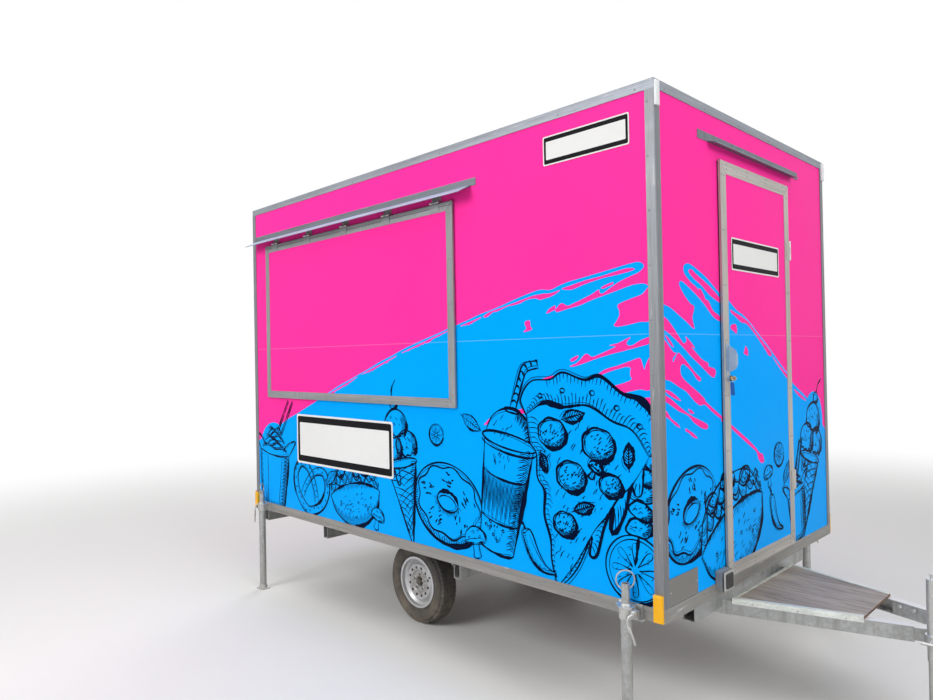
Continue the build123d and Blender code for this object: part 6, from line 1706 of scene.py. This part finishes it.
# Camera and lamps
def stood(thing, right, up, back, place):
    """Adds a camera or lamp to the scene, its axes and place given as the columns of its matrix."""
    made = bpy.data.objects.new(thing.name, thing)
    pose = np.eye(4)
    pose[:3] = np.stack([right, up, back, place], -1)
    made.matrix_world = Matrix(pose.tolist())
    bpy.context.scene.collection.objects.link(made)
    return made


# The camera stands where the photograph's did
EYE = (2.6170, -3.6157, 1.7211)
YAW, PITCH, ROLL = math.radians(135.471), math.radians(0.4818), math.radians(-1.0709)
ahead = np.array((math.cos(YAW) * math.cos(PITCH), math.sin(YAW) * math.cos(PITCH), math.sin(PITCH)))
level = np.array((math.sin(YAW), -math.cos(YAW), 0.0))
above = np.cross(level, ahead)
right_hand = math.cos(ROLL) * level + math.sin(ROLL) * above
overhead = -math.sin(ROLL) * level + math.cos(ROLL) * above
camera_data = bpy.data.cameras.new("camera")
camera_data.lens = 26.81
camera_data.sensor_width = 36.0
bpy.context.scene.camera = stood(camera_data, right_hand, overhead, -ahead, EYE)


# Studio
def lamp(name, place, target, size, power):
    """Soft square lamp that faces a target."""
    data = bpy.data.lights.new(name, "AREA")
    data.size = size
    data.energy = power
    away = unit(np.subtract(place, target))
    across = unit(np.cross((0.0, 0.0, 1.0), away))
    stood(data, across, np.cross(away, across), away, place)


MIDDLE = (-0.5, 0.0, 1.4)
lamp("key", (-2.0, -8.5, 5.5), MIDDLE, size=4.0, power=410)
lamp("front fill", (8.5, -1.5, 5.0), MIDDLE, size=4.0, power=330)
lamp("back fill", (-7.0, 7.0, 5.0), MIDDLE, size=5.0, power=380)
lamp("overhead", (1.5, -3.0, 9.0), (0.0, -1.5, 0.0), size=7.0, power=280)

WORLD_STRENGTH = 0.30
world = bpy.data.worlds.new("studio")
world.use_nodes = True
world_tree = world.node_tree
background = world_tree.nodes["Background"]
strength = spread(world_tree, background_rays(world_tree), 0.0, 1.0, WORLD_STRENGTH, 1.0)
world_tree.links.new(strength, background.inputs["Strength"])
background.inputs["Color"].default_value = (1, 1, 1, 1)
bpy.context.scene.world = world


def studio_floor():
    """Wide pale floor that passes into the white background with distance."""
    s = Surface("studio floor")
    tree = s.tree
    tone = s.of(DRIFT, Colour=(0.80, 0.80, 0.79, 1), Size=0.6, Amount=0.03)
    s.feed("Base Color", tone["Colour"])
    s.feed("Roughness", s.uneven(tone["Value"], 0.75, 0.85))
    s.bump(noise(tree, s.where, 30.0, 4.0), 0.1, 0.0005)
    distance = put(tree, "ShaderNodeVectorMath", {0: s.where}, operation="LENGTH").outputs["Value"]
    share = calc(tree, "MULTIPLY", spread(tree, distance, 4.0, 10.0), background_rays(tree))
    glow = put(tree, "ShaderNodeEmission", {"Color": (1, 1, 1, 1), "Strength": 1.0})
    blend = put(tree, "ShaderNodeMixShader", {0: share, 1: s.shader.outputs[0], 2: glow.outputs[0]})
    tree.links.new(blend.outputs[0], tree.nodes["Material Output"].inputs["Surface"])
    radius = np.concatenate([np.linspace(0.0, 10, 30), np.geomspace(12, 60, 8)])
    angle = full_turn(64)
    across, deep = radius[:, None] * np.cos(angle), radius[:, None] * np.sin(angle)
    points = np.stack([across, deep, np.zeros_like(across)], -1)
    mesh = bpy.data.meshes.new("studio_floor")
    mesh.from_pydata(points.reshape(-1, 3).tolist(), [], grid_faces(len(radius), 64, wrap_columns=True).tolist())
    mesh.materials.append(s.material)
    made = bpy.data.objects.new("studio_floor", mesh)
    bpy.context.scene.collection.objects.link(made)


studio_floor()
bpy.context.scene.view_settings.view_transform = "Standard"
